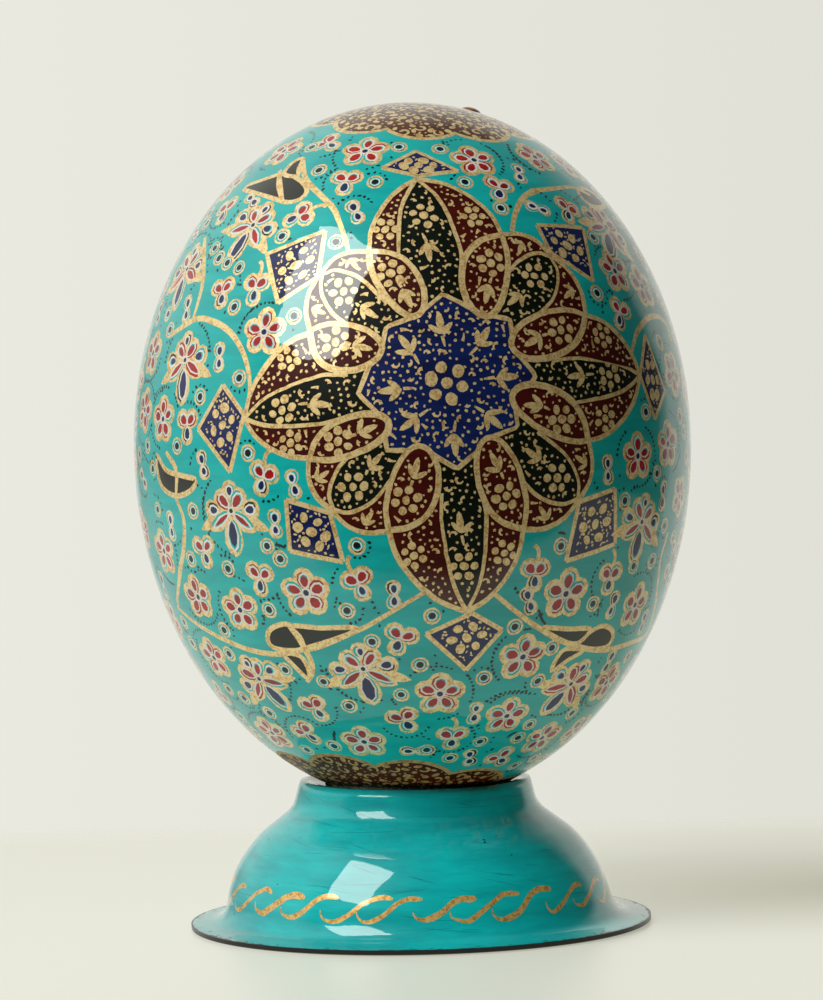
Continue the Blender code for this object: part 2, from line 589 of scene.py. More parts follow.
@dataclass
class EggPainter:
    """Paints on the egg's face, and the same again half a turn round wherever twins is set."""

    form: EggForm
    skin: PaintedSkin
    hand: np.random.Generator
    twins: bool = True

    def fill(self, points: np.ndarray, paint: Paint) -> None:
        """Paints inside an outline of points on the egg."""
        self.cover(self.form.chart_of(points), paint)

    def cover(self, chart: np.ndarray, paint: Paint) -> None:
        """Paints inside an outline of chart points, and inside its twin on the egg's other side."""
        self.skin.cover(chart, paint)
        if self.twins:
            self.skin.cover(-chart, paint)

    def stroke(
        self, points: np.ndarray, width: float | np.ndarray, paint: Paint, closed: bool = False
    ) -> None:
        """Paints a line of a given width.

        Args:
            points: the line's middle, on the egg.
            width: one width, or one for each point.
            paint: what it is painted with.
            closed: whether the line's end joins its start.
        """
        if closed:
            along = np.roll(points, -1, axis=0) - np.roll(points, 1, axis=0)
        else:
            along = np.gradient(points, axis=0)
        side = np.cross(self.form.normals(points), along)
        side /= np.maximum(np.linalg.norm(side, axis=1, keepdims=True), 1e-9)
        half = np.broadcast_to(np.asarray(width, float), (len(points),))[:, None] / 2
        left = self.form.chart_of(self.form.settle(points + side * half))
        right = self.form.chart_of(self.form.settle(points - side * half))
        for corners in quads(left, right, closed):
            self.cover(corners, paint)

    def dots(self, middles: np.ndarray, radii: float | np.ndarray, paint: Paint, sides: int = 5,
             longest: float = 1.0) -> None:
        """Paints small round dots.

        Args:
            middles: points on the egg.
            radii: one radius, or one for each dot.
            paint: what they are painted with.
            sides: corners of each dot.
            longest: how much longer than wide a dot may be.
        """
        if len(middles) == 0:
            return
        normals = self.form.normals(middles)
        east = np.cross((0.0, 0.0, 1.0), normals)
        east /= np.maximum(np.linalg.norm(east, axis=1, keepdims=True), 1e-9)
        north = np.cross(normals, east)
        reach = np.broadcast_to(np.asarray(radii, float), (len(middles),))
        count = len(middles)
        start = self.hand.uniform(0, TAU, count)[:, None]
        angles = start + np.arange(sides)[None] * TAU / sides
        stray = 0.18 if sides < 7 else 0.07
        wobble = self.hand.uniform(1 - stray, 1 + stray, (count, sides)) * reach[:, None]
        length = np.sqrt(self.hand.uniform(1.0, longest, count))[:, None]
        slant = self.hand.uniform(0, TAU, count)[:, None]
        reach_along = wobble * np.cos(angles) * length
        reach_aside = wobble * np.sin(angles) / length
        across = reach_along * np.cos(slant) - reach_aside * np.sin(slant)
        up = reach_along * np.sin(slant) + reach_aside * np.cos(slant)
        corners = middles[:, None] + across[..., None] * east[:, None] + up[..., None] * north[:, None]
        corners = corners.reshape(-1, 3)
        chart = self.form.chart_of(self.form.settle(corners)).reshape(count, sides, 2)
        for outline in chart:
            self.cover(outline, paint)


def round_outline(radius: float, sides: int, hand: np.random.Generator, wobble: float = 0.06) -> np.ndarray:
    """A round flat outline drawn by hand.

    Args:
        radius: its radius.
        sides: its number of corners.
        hand: source of the unevenness.
        wobble: share of the radius that a corner may stray.

    Returns:
        The outline's points.
    """
    angles = np.arange(sides) * TAU / sides + hand.uniform(0, TAU)
    reach = radius * (1 + hand.uniform(-wobble, wobble, sides))
    return polar(reach, angles)


def leaflet(bearing: float, start: float, length: float, width: float, point: float = 0.0,
            sides: int = 8) -> np.ndarray:
    """A petal or leaf outline that begins near the origin and points away from it.

    Args:
        bearing: direction in degrees, counter-clockwise from north.
        start: distance of its inner end from the origin.
        length: its length.
        width: its greatest width.
        point: how sharp its outer end is, from 0 to 1.
        sides: its number of corners.

    Returns:
        The outline's points.
    """
    angles = np.arange(sides) * TAU / sides
    up = start + length * (1 - np.cos(angles)) / 2
    belly = np.sin(angles) * (1 - 0.22 * np.cos(angles))
    narrow = 1 - point * np.clip(-np.cos(angles), 0, 1) ** 2 * 0.75
    across = width / 2 * belly * narrow
    return turned_flat(np.stack([across, up], axis=1), bearing)


CAMERA_BACK = 943.0
CAMERA_HEIGHT = 134.0
AIM_HEIGHT = 96.1
AIM_PIXEL = (413.5, 500.0)
CAMERA_ROLL = 1.1
PHOTO_WIDTH = 823
PHOTO_HEIGHT = 1000
SENSOR = 36.0
LENS = 150.0


@dataclass
class PhotoCamera:
    """The camera that took the photograph, which also finds where a pixel of it lies on the egg."""

    eye: np.ndarray = field(default_factory=lambda: np.array([0.0, -CAMERA_BACK, CAMERA_HEIGHT]))
    pixels_per_slope: float = LENS / SENSOR * PHOTO_HEIGHT

    def axes(self) -> tuple[np.ndarray, np.ndarray, np.ndarray]:
        """Forward, right and up directions through AIM_PIXEL, with the picture's roll."""
        forward = np.array([0.0, 0.0, AIM_HEIGHT]) - self.eye
        forward /= np.linalg.norm(forward)
        right = np.cross(forward, (0.0, 0.0, 1.0))
        right /= np.linalg.norm(right)
        up = np.cross(right, forward)
        roll = math.radians(CAMERA_ROLL)
        turned = math.cos(roll) * right - math.sin(roll) * up
        return forward, turned, math.sin(roll) * right + math.cos(roll) * up

    def on_egg(self, form: EggForm, pixel: tuple[float, float]) -> np.ndarray:
        """The point of the egg's face that a pixel shows.

        Args:
            form: the egg's face.
            pixel: column and row in the photograph.

        Returns:
            The point, or the nearest one on the egg's outline for a pixel just beside it.
        """
        forward, right, up = self.axes()
        across = pixel[0] - AIM_PIXEL[0]
        down = pixel[1] - AIM_PIXEL[1]
        ray = forward * self.pixels_per_slope + right * across - up * down
        ray /= np.linalg.norm(ray)
        for half, sign in ((form.upper, 1.0), (form.lower, -1.0)):
            scale = np.array([1 / form.girth, 1 / form.girth, 1 / half])
            start = (self.eye - (0.0, 0.0, form.waist)) * scale
            way = ray * scale
            first, second, third = way @ way, 2 * start @ way, start @ start - 1
            inside = max(0.0, second**2 - 4 * first * third)
            point = self.eye + ray * (-second - math.sqrt(inside)) / (2 * first)
            if (point[2] - form.waist) * sign >= 0:
                break
        return form.settle(point[None])[0]

    def build(self) -> bpy.types.Object:
        """Makes Blender's camera and gives it to the scene."""
        data = bpy.data.cameras.new("photo_camera")
        data.sensor_width = SENSOR
        data.lens = LENS
        data.clip_start = 0.01
        data.clip_end = 20.0
        camera = in_scene("photo_camera", data)
        forward, right, up = self.axes()
        yaw = (PHOTO_WIDTH / 2 - AIM_PIXEL[0]) / self.pixels_per_slope
        pitch = (AIM_PIXEL[1] - PHOTO_HEIGHT / 2) / self.pixels_per_slope
        look = forward + right * yaw + up * pitch
        look /= np.linalg.norm(look)
        right = np.cross(look, up)
        right /= np.linalg.norm(right)
        up = np.cross(right, look)
        turn = Matrix((right, up, -look)).transposed().to_4x4()
        camera.matrix_world = Matrix.Translation(Vector(self.eye * MM)) @ turn
        bpy.context.scene.camera = camera
        return camera


@dataclass
class Medallion:
    """The eight-petalled medallion: four long and four short petals whose outlines loop round eight lobes.

    Stations are rows of distance, as a share of the long petals' reach, and bearing in degrees from a petal's
    axis. A long and a short petal's axes are 45 degrees apart, and the lobe between them ends at 22.5. The
    room
    that specks and commas keep is given from the gold lines and from the ornaments.
    """

    middle: tuple[float, float] = (447, 383)
    tips: tuple = ((640, 376), (552, 256), (416, 179), (320, 274), (244, 418), (331, 510), (467, 612),
                   (580, 498))
    lobe_ends: tuple = (
        (512, 396), (512, 346), (482, 315), (418, 315), (381, 353), (388, 421), (424, 447), (487, 438),
    )
    star_tips: tuple = (
        (536, 375), (510, 319), (443, 294), (386, 327), (358, 394), (387, 450), (457, 469), (518, 427),
    )
    crossings: tuple = ((586, 316), (503, 235), (368, 252), (310, 333), (308, 457), (388, 531), (524, 529),
                        (589, 440))
    reach: float = 48.5
    short_share: float = 0.815
    crossing_share: float = 0.745
    long_edge: tuple = ((1.0, 0), (0.965, 6), (0.905, 12.2), (0.83, 18), (0.745, 22.5))
    short_edge: tuple = ((0.815, 0), (0.822, 8), (0.797, 15.5), (0.745, 22.5))
    lobe_edge: tuple = (
        (0.745, 22.5), (0.68, 16.6), (0.60, 11.8), (0.50, 9.3), (0.41, 10.0), (0.355, 14.2), (0.338, 20.5),
        (0.352, 27), (0.41, 31.4), (0.51, 31.6), (0.62, 28.8), (0.69, 25.8), (0.745, 22.5),
    )
    long_leaf: tuple = ((1.0, 0), (0.9, 3.8), (0.79, 6.6), (0.69, 8.8), (0.60, 11.0), (0.55, 11.4))
    short_leaf: tuple = ((0.805, 0), (0.775, 4.6), (0.72, 8.2), (0.64, 11.4), (0.54, 12.8))
    leaf_inner: tuple[float, float] = (0.365, 17.0)
    leaf_swell: tuple = (0.68, 1.0, 1.0, 1.0, 1.3, 1.0, 1.0, 1.0, 1.0, 0.86, 1.0, 1.0, 1.0, 0.62, 1.0, 1.0)
    star_shoulder: tuple[float, float] = (0.83, 18.5)
    star_bulge: float = 0.362
    lobe_line: float = 1.35
    edge_line: float = 1.1
    leaf_line: float = 0.85
    leaf_tail: int = 3
    star_line: float = 1.0
    line_step: float = 1.1
    blades: tuple = ((0.0, 5.0, 1.7), (42.0, 3.6, 1.3), (-42.0, 3.6, 1.3))
    speck_share: float = 1.06
    speck_gap: float = 1.22
    speck_room: tuple[float, float] = (1.08, 0.2)
    speck_sizes: tuple[float, float] = (0.26, 0.43)
    speck_tries: int = 26000
    edge_room: float = 0.9
    comma_gap: float = 3.0
    comma_room: tuple[float, float] = (1.6, 0.6)
    comma_reach: float = 1.25
    straight_commas: float = 0.12
    painter: EggPainter = field(init=False)
    patch: Patch = field(init=False)
    lobe_shift: np.ndarray = field(init=False)
    knots: np.ndarray = field(init=False)
    pull: np.ndarray = field(init=False)
    around: np.ndarray = field(init=False)
    star_at: np.ndarray = field(init=False)

    def place(self, painter: EggPainter, camera: PhotoCamera) -> None:
        """Finds the medallion's place and how the painter's hand has pulled its tips and crossings."""
        form = painter.form
        self.painter = painter
        self.patch = Patch.on(form, camera.on_egg(form, self.middle))
        self.lobe_shift = np.zeros((8, 2))
        distances, bearings = [], []
        for step in range(16):
            pixel = (self.crossings if step % 2 else self.tips)[step // 2]
            distance, bearing = self.patch.read(camera.on_egg(form, pixel))
            share = self.crossing_share if step % 2 else (self.short_share if step % 4 else 1.0)
            distances.append(distance / (share * self.reach))
            nominal = step * 22.5
            bearings.append(nominal + (bearing - nominal + 180) % 360 - 180)
        self.knots = np.arange(-1, 18) * 22.5
        self.pull = np.array([distances[-1], *distances, *distances[:2]])
        self.around = np.array([bearings[-1] - 360, *bearings, bearings[0] + 360, bearings[1] + 360])
        self.star_at = self.flat_of(camera, self.star_tips)
        goals = self.flat_of(camera, self.lobe_ends)
        inner = [lobe[np.linalg.norm(lobe, axis=1).argmin()] for lobe in self.lobes()]
        self.lobe_shift = goals - np.array(inner)

    def flat_of(self, camera: PhotoCamera, pixels: tuple) -> np.ndarray:
        """Flat points that pixels of the photograph show."""
        rows = [self.patch.read(camera.on_egg(self.painter.form, pixel)) for pixel in pixels]
        return polar_flat(np.array(rows))

    def shifted(self, flat: np.ndarray, number: int) -> np.ndarray:
        """Flat points of a lobe, moved more the nearer they are to its inner end."""
        outer, inner = self.reach * self.lobe_edge[0][0], self.reach * self.lobe_edge[6][0]
        share = (outer - np.linalg.norm(flat, axis=1, keepdims=True)) / (outer - inner)
        return flat + self.lobe_shift[number] * np.clip(share, 0, 1)

    def warp(self, stations: np.ndarray) -> np.ndarray:
        """Flat points from rows of distance share and bearing, pulled as the hand has pulled them."""
        bearing = stations[:, 1] % 360
        reach = stations[:, 0] * self.reach * np.interp(bearing, self.knots, self.pull)
        return polar_flat(np.column_stack((reach, np.interp(bearing, self.knots, self.around))))

    def sector(self, stations: tuple, axis: float, side: float = 1.0) -> np.ndarray:
        """Stations of one petal as rows of distance share and bearing, mirrored when side is -1."""
        rows = np.array(stations, float)
        return np.column_stack((rows[:, 0], axis + side * rows[:, 1]))

    def drawn(self, stations: np.ndarray) -> np.ndarray:
        """A smooth flat line through stations."""
        return smooth_path(self.warp(stations), self.line_step)

    def axes(self) -> list[tuple[float, bool]]:
        """Bearing of each petal's axis and whether the petal is long."""
        return [(45.0 * step, step % 2 == 0) for step in range(8)]

    def edges(self) -> list[np.ndarray]:
        """The sixteen outer edges, each from a crossing or tip to the next, counter-clockwise."""
        found = []
        for axis, is_long in self.axes():
            stations = self.long_edge if is_long else self.short_edge
            found.append(self.drawn(self.sector(stations, axis, -1.0)[::-1]))
            found.append(self.drawn(self.sector(stations, axis)))
        return found

    def lobes(self) -> list[np.ndarray]:
        """The eight closed lobes."""
        found = []
        for step in range(4):
            for side in (-1.0, 1.0):
                flat = self.drawn(self.sector(self.lobe_edge, 90.0 * step, side))[:-1]
                found.append(self.shifted(flat, len(found)))
        return found

    def leaf_lines(self) -> list[np.ndarray]:
        """The two lines of each petal's leaf, from the tip inwards."""
        found = []
        for axis, is_long in self.axes():
            stations = self.long_leaf if is_long else self.short_leaf
            for side in (1.0, -1.0):
                swell = self.leaf_swell[len(found)]
                found.append(self.drawn(self.sector(stations, axis, side * swell)))
        return found

    def star(self) -> np.ndarray:
        """Corners of the navy star: a shoulder, the point and a shoulder for each petal."""
        share, angle = self.star_shoulder
        rows = []
        for tip in self.star_at:
            shoulders = [turned_flat(tip * share, turn) for turn in (-angle, angle)]
            before, after = (self.joined(shoulder) for shoulder in shoulders)
            rows.extend([before, tip, after])
        return np.array(rows)

    def joined(self, spot: np.ndarray) -> np.ndarray:
        """The flat spot itself where a lobe covers it, or the nearest point of a lobe's outline."""
        lobes = self.lobes()
        if any(encloses(lobe, spot) for lobe in lobes):
            return spot
        outline = np.concatenate(lobes)
        return outline[np.linalg.norm(outline - spot, axis=1).argmin()]

    def star_ground(self) -> np.ndarray:
        """The star's outline, which bulges under the lobes between its points."""
        corners = self.star().reshape(8, 3, 2)
        bulges = self.warp(np.array([(self.star_bulge, axis + 22.5) for axis, _ in self.axes()]))
        return np.concatenate((corners, bulges[:, None]), axis=1).reshape(-1, 2)

    def paint(self) -> None:
        """Paints the grounds, then the specks and ornaments, then the gold lines."""
        edges, lobes, leaves, star = self.edges(), self.lobes(), self.leaf_lines(), self.star()
        self.fill(np.concatenate([edge[:-1] for edge in edges]), Paint.MAROON)
        reach, spread = self.leaf_inner
        for (axis, _), one, other in zip(self.axes(), leaves[::2], leaves[1::2]):
            inner = self.warp(np.array([(reach, axis + spread), (reach, axis - spread)]))
            self.fill(np.concatenate((one, inner, other[:0:-1])), Paint.LEAF)
        ground = self.star_ground()
        self.fill(even_steps(np.concatenate((ground, ground[:1])), self.line_step)[:-1], Paint.NAVY)
        star_lines = [even_steps(corner, self.line_step) for corner in star.reshape(8, 3, 2)]
        for star_line in star_lines:
            self.line(star_line, self.star_line)
        for leaf in leaves:
            tail = leaf[-1] + (leaf[-1] - leaf[-2]) * np.arange(1, self.leaf_tail + 1)[:, None]
            self.line(np.concatenate((leaf, tail)), self.leaf_line)
        for lobe in lobes:
            self.fill(lobe, Paint.MAROON)
        ornaments = self.ornaments()
        lines = [*edges, *lobes, *leaves, *star_lines]
        self.specks(np.concatenate(edges), np.concatenate(lines), ornaments)
        for edge in edges:
            self.line(edge, self.edge_line)
        for lobe in lobes:
            self.line(np.concatenate((lobe, lobe[:1])), self.lobe_line)

    def fill(self, flat: np.ndarray, paint: Paint) -> None:
        """Paints inside a flat outline."""
        self.painter.fill(self.patch.lay(flat), paint)

    def line(self, flat: np.ndarray, width: float) -> None:
        """Paints a gold line whose width swells a little, as from a brush."""
        hand = self.painter.hand
        swell = np.sin(np.linspace(0, hand.uniform(2, 5), len(flat)) + hand.uniform(0, TAU))
        strayed = flat + hand.normal(0, 0.05, flat.shape) * (np.arange(len(flat)) % 2)[:, None]
        strayed[[0, -1]] = flat[[0, -1]]
        widths = width * (1 + 0.12 * swell + hand.uniform(-0.06, 0.06, len(flat)))
        self.painter.stroke(self.patch.lay(strayed), widths, Paint.GOLD)

    def ornaments(self) -> np.ndarray:
        """Paints the dot clusters and trefoils and returns rows of place and radius that they take up."""
        taken: list[tuple[float, float, float]] = []
        self.cluster((0.0, 0.0), 1.5, 3.45, taken)
        for axis, is_long in self.axes():
            self.trefoil((0.262, axis), 180.0, 1.0, taken, stem=2.4)
            if is_long:
                self.cluster((0.79, axis), 1.0, 2.4, taken)
                self.trefoil((0.60, axis), 0.0, 1.0, taken, stem=2.2)
            else:
                self.cluster((0.66, axis), 1.0, 2.4, taken)
                self.trefoil((0.50, axis), 0.0, 0.9, taken, stem=1.2)
            for side in (-1.0, 1.0):
                if is_long:
                    lobe = int(axis // 45) + int(side > 0)
                    self.cluster((0.795, axis + side * 13.6), 0.92, 2.1, taken)
                    self.cluster((0.585, axis + side * 20.6), 1.05, 2.4, taken, lobe)
                    self.trefoil((0.44, axis + side * 20.6), 0.0, 0.95, taken, stem=1.6, lobe=lobe)
                else:
                    self.trefoil((0.735, axis + side * 13.0), 0.0, 0.76, taken, stem=0.0)
        return np.array(taken)

    def spot(self, place: tuple[float, float], lobe: int) -> np.ndarray:
        """The flat point at a distance share and bearing, moved with a lobe unless its number is -1."""
        flat = self.warp(np.array([place]))
        return (self.shifted(flat, lobe) if lobe >= 0 else flat)[0]

    def cluster(self, place: tuple[float, float], dot: float, ring: float,
                taken: list[tuple[float, float, float]], lobe: int = -1) -> None:
        """Paints six dots round one.

        Args:
            place: distance share and bearing of the middle dot.
            dot: the dots' radius.
            ring: distance of the six from the middle one.
            taken: list that the cluster's place and radius are added to.
            lobe: number of the lobe that it moves with, or -1.
        """
        hand = self.painter.hand
        middle = self.spot(place, lobe)
        start = hand.uniform(0, 60)
        angles = np.radians(start + 60.0 * np.arange(6) + hand.uniform(-4, 4, 6))
        reach = ring * hand.uniform(0.95, 1.08, 6)
        around = middle + polar(reach, angles)
        middles = np.concatenate((middle[None], around))
        sizes = dot * hand.uniform(0.84, 1.04, 7)
        self.painter.dots(self.patch.lay(middles), sizes, Paint.GOLD, sides=10, longest=1.3)
        taken.append((middle[0], middle[1], ring + dot * 1.05))

    def trefoil(self, place: tuple[float, float], turn: float, size: float,
                taken: list[tuple[float, float, float]], stem: float, lobe: int = -1) -> None:
        """Paints three leaflets from one point, which face the medallion's middle unless turned.

        Args:
            place: distance share and bearing of its middle.
            turn: degrees that it is turned from facing the middle.
            size: its scale.
            taken: list that its place and radius are added to.
            stem: length of the stem behind it, or 0.
            lobe: number of the lobe that it moves with, or -1.
        """
        hand = self.painter.hand
        middle = self.spot(place, lobe)
        facing = math.degrees(math.atan2(middle[1], middle[0])) + 90 + turn + hand.uniform(-8, 8)
        for bearing, length, width in self.blades:
            blade = leaflet(bearing + hand.uniform(-8, 8), 0.0, length, width, point=0.6) - (0.0, 2.3)
            self.fill(turned_flat(blade * size * hand.uniform(0.92, 1.08), facing) + middle, Paint.GOLD)
        if stem:
            bend = hand.uniform(-0.5, 0.5)
            ends = np.array([[0.0, -2.7], [bend / 2, -2.7 - stem / 2], [bend, -2.7 - stem]]) * size
            line = turned_flat(ends, facing) + middle
            self.painter.stroke(self.patch.lay(line), np.array([0.65, 0.7, 0.35]), Paint.GOLD)
            taken.append((line[1, 0], line[1, 1], 0.3 + stem * 0.35))
        taken.append((middle[0], middle[1], 2.25 * size))

    def specks(self, outline: np.ndarray, lines: np.ndarray, ornaments: np.ndarray) -> None:
        """Paints commas and fine specks in all that is still bare inside the outline.

        Args:
            outline: the medallion's flat outer edge.
            lines: flat points along every gold line.
            ornaments: rows of place and radius that are taken.
        """
        hand = self.painter.hand
        reach = self.reach * self.speck_share
        spots = hand.uniform(-reach, reach, (self.speck_tries, 2))
        spots = spots[inside_edge(spots, outline, self.edge_room)]
        spots = spots[nearest(spots, lines) > self.speck_room[0]]
        spots = spots[clear_of(spots, ornaments, self.speck_room[1])]
        off_lines = nearest(spots, lines) > self.comma_room[0]
        roomy = spots[off_lines & clear_of(spots, ornaments, self.comma_room[1])]
        commas = spread_out(roomy, self.comma_gap)
        for place in commas:
            self.comma(place)
        spots = spread_out(spots[nearest(spots, commas) > self.comma_reach], self.speck_gap)
        sizes = hand.uniform(*self.speck_sizes, len(spots))
        self.painter.dots(self.patch.lay(spots), sizes, Paint.GOLD, sides=5, longest=1.4)

    def comma(self, place: np.ndarray) -> None:
        """Paints a short hooked stroke."""
        hand = self.painter.hand
        if hand.random() < self.straight_commas:
            length, bow = hand.uniform(1.3, 2.2), hand.uniform(-0.2, 0.2)
            stroke = np.array([[-length / 2, 0], [-length / 6, bow], [length / 6, bow], [length / 2, 0]])
        else:
            sweep = np.linspace(0, math.radians(hand.uniform(110, 210)), 5)
            radius = hand.uniform(0.55, 0.85)
            stroke = polar(radius, sweep) - (radius / 2, 0)
        stroke = turned_flat(stroke, hand.uniform(0, 360)) + place
        widths = np.linspace(hand.uniform(0.65, 1.0), 0.3, len(stroke))
        self.painter.stroke(self.patch.lay(stroke), widths, Paint.GOLD)


def encloses(outline: np.ndarray, spot: np.ndarray) -> bool:
    """Whether a closed flat outline goes round a flat spot."""
    angles = np.arctan2(*(outline - spot).T)
    steps = np.diff(np.append(angles, angles[0]))
    return abs(((steps + math.pi) % TAU - math.pi).sum()) > math.pi


def nearest(spots: np.ndarray, others: np.ndarray) -> np.ndarray:
    """Distance from each spot to the nearest of the others."""
    best = np.full(len(spots), np.inf)
    for start in range(0, len(others), 512):
        block = others[start : start + 512]
        gaps = np.linalg.norm(spots[:, None] - block[None], axis=2)
        best = np.minimum(best, gaps.min(axis=1))
    return best


def clear_of(spots: np.ndarray, rounds: np.ndarray, margin: float) -> np.ndarray:
    """True for each spot that lies outside all rounds, given as rows of place and radius."""
    gaps = np.linalg.norm(spots[:, None] - rounds[None, :, :-1], axis=2) - rounds[None, :, -1]
    return gaps.min(axis=1) > margin


@dataclass(frozen=True)
class Petal:
    """One petal of a small flower, in millimetres, with its bearing in degrees from the flower's head."""

    bearing: float
    start: float
    length: float
    width: float
    paint: Paint
    point: float = 0.0


@dataclass(frozen=True)
class Flower:
    """A kind of small flower: its petals, the gold round them and the dot in its middle."""

    petals: tuple[Petal, ...]
    gold: float
    heart: float
    reach: float


FLOWERS: dict[Blossom, Flower] = {
    Blossom.FIVE: Flower(
        tuple(Petal(72.0 * n, 1.0, 3.3, 2.5, Paint.PETAL_RED, 0.25) for n in range(5)), 1.28, 0.66, 5.9
    ),
    Blossom.ORCHID: Flower(
        (
            Petal(0, 2.7, 2.2, 1.7, Paint.PETAL_BLUE),
            *(Petal(turn, 0.8, 3.5, 2.2, Paint.PETAL_RED) for turn in (42, -42)),
            *(Petal(turn, 3.3, 2.6, 2.1, Paint.PETAL_BLUE) for turn in (86, -86)),
            *(Petal(turn, 0.8, 5.2, 1.8, Paint.PETAL_RED, 0.8) for turn in (124, -124)),
            Petal(180, 1.7, 6.2, 3.0, Paint.PETAL_BLUE, 0.4),
        ), 1.1, 0.5, 6.9,
    ),
    Blossom.TRIPLE: Flower(
        (
            *(Petal(turn, 0.2, 3.0, 2.35, Paint.PETAL_RED) for turn in (50, -50)),
            Petal(180, 0.3, 2.9, 2.1, Paint.PETAL_BLUE),
        ), 1.12, 0.0, 4.4,
    ),
    Blossom.PAIR: Flower(
        tuple(Petal(turn, 0.1, 2.5, 1.9, Paint.PETAL_BLUE) for turn in (0, 180)), 0.85, 0.0, 3.4
    ),
    Blossom.BUD: Flower((Petal(0, -0.85, 1.75, 1.4, Paint.INK),), 0.95, 0.0, 1.95),
}


@dataclass(frozen=True)
class Sprig:
    """One small flower in the field: its kind, the pixel of its middle, its turn in degrees and its scale."""

    kind: Blossom
    pixel: tuple[float, float]
    turn: float = 0.0
    scale: float = 1.0
    stem: bool = False
    alone: bool = False


def sprigs(kind: Blossom, pixels: list[tuple], scale: float = 1.0) -> list[Sprig]:
    """Makes the sprigs of one kind.

    Args:
        kind: the kind of flower.
        pixels: column and row of each, then its turn, and a further number where it has a stem.
        scale: their scale.

    Returns:
        The sprigs.
    """
    found = []
    for column, row, *more in pixels:
        turn = more[0] if more else 0.0
        found.append(Sprig(kind, (column, row), turn, scale, len(more) > 1))
    return found


FIELD: list[Sprig] = [
    *sprigs(Blossom.FIVE, [
        (365, 151), (474, 160), (264, 332), (163, 419), (198, 597), (240, 610), (214, 658), (364, 742),
        (272, 733), (507, 716), (542, 738), (615, 271), (638, 456), (668, 444), (635, 605), (606, 683),
        (535, 157), (642, 286), (164, 551), (153, 353), (284, 151),
    ]),
    *sprigs(Blossom.FIVE, [(306, 593), (440, 694), (523, 657), (566, 594)], 1.08),
    *sprigs(Blossom.ORCHID, [
        (253, 225, -20), (185, 360, 5), (231, 511, 0), (259, 679, 25), (363, 669, 5), (571, 684, -25),
        (642, 522, -10), (606, 227, -35), (187, 269, 10),
    ], 1.12),
    *sprigs(Blossom.TRIPLE, [
        (346, 181, 0), (299, 216, -60, 1), (255, 288, 0, 1), (222, 292, 10), (187, 425, 0),
        (263, 478, -15, 1), (204, 551, 5), (260, 578, -10), (359, 584, 20, 1), (315, 708, 15),
        (306, 733, 30), (404, 720, 20), (400, 639, -20), (452, 738, 0, 1), (500, 758, 40),
        (499, 188, -20), (568, 210, -35), (620, 313, -30), (535, 574, 0, 1), (610, 578, 0, 1),
        (225, 210, 20), (328, 143, 60),
    ]),
    *sprigs(Blossom.PAIR, [
        (355, 212, 30), (219, 357, 5), (203, 465, 15), (293, 484, 10), (275, 524, 5), (394, 595, 0),
        (415, 751, 90), (475, 713, 0), (470, 758, 10), (609, 662, 0), (519, 173, -20), (538, 208, 70),
        (608, 470, 5), (529, 601, 20), (613, 605, 0), (663, 496, 0), (171, 526, 0), (252, 200, 60),
        (187, 309, 20),
    ]),
    *sprigs(Blossom.BUD, [
        (399, 147), (319, 170), (375, 182), (282, 236), (219, 258), (234, 307), (336, 242), (294, 316),
        (239, 378), (200, 397), (440, 149), (465, 182), (501, 208), (593, 237), (597, 293), (646, 412),
        (177, 446), (248, 453), (193, 511), (191, 559), (228, 569), (280, 559), (357, 546), (269, 610),
        (224, 630), (347, 611), (229, 654), (285, 670), (372, 642), (420, 665), (349, 706), (334, 746),
        (244, 698), (307, 750), (484, 678), (538, 681), (552, 648), (518, 738), (450, 758), (572, 713),
        (427, 750), (561, 546), (625, 501), (593, 604), (652, 561), (515, 627), (432, 616), (312, 147),
        (170, 330),
    ]),
]


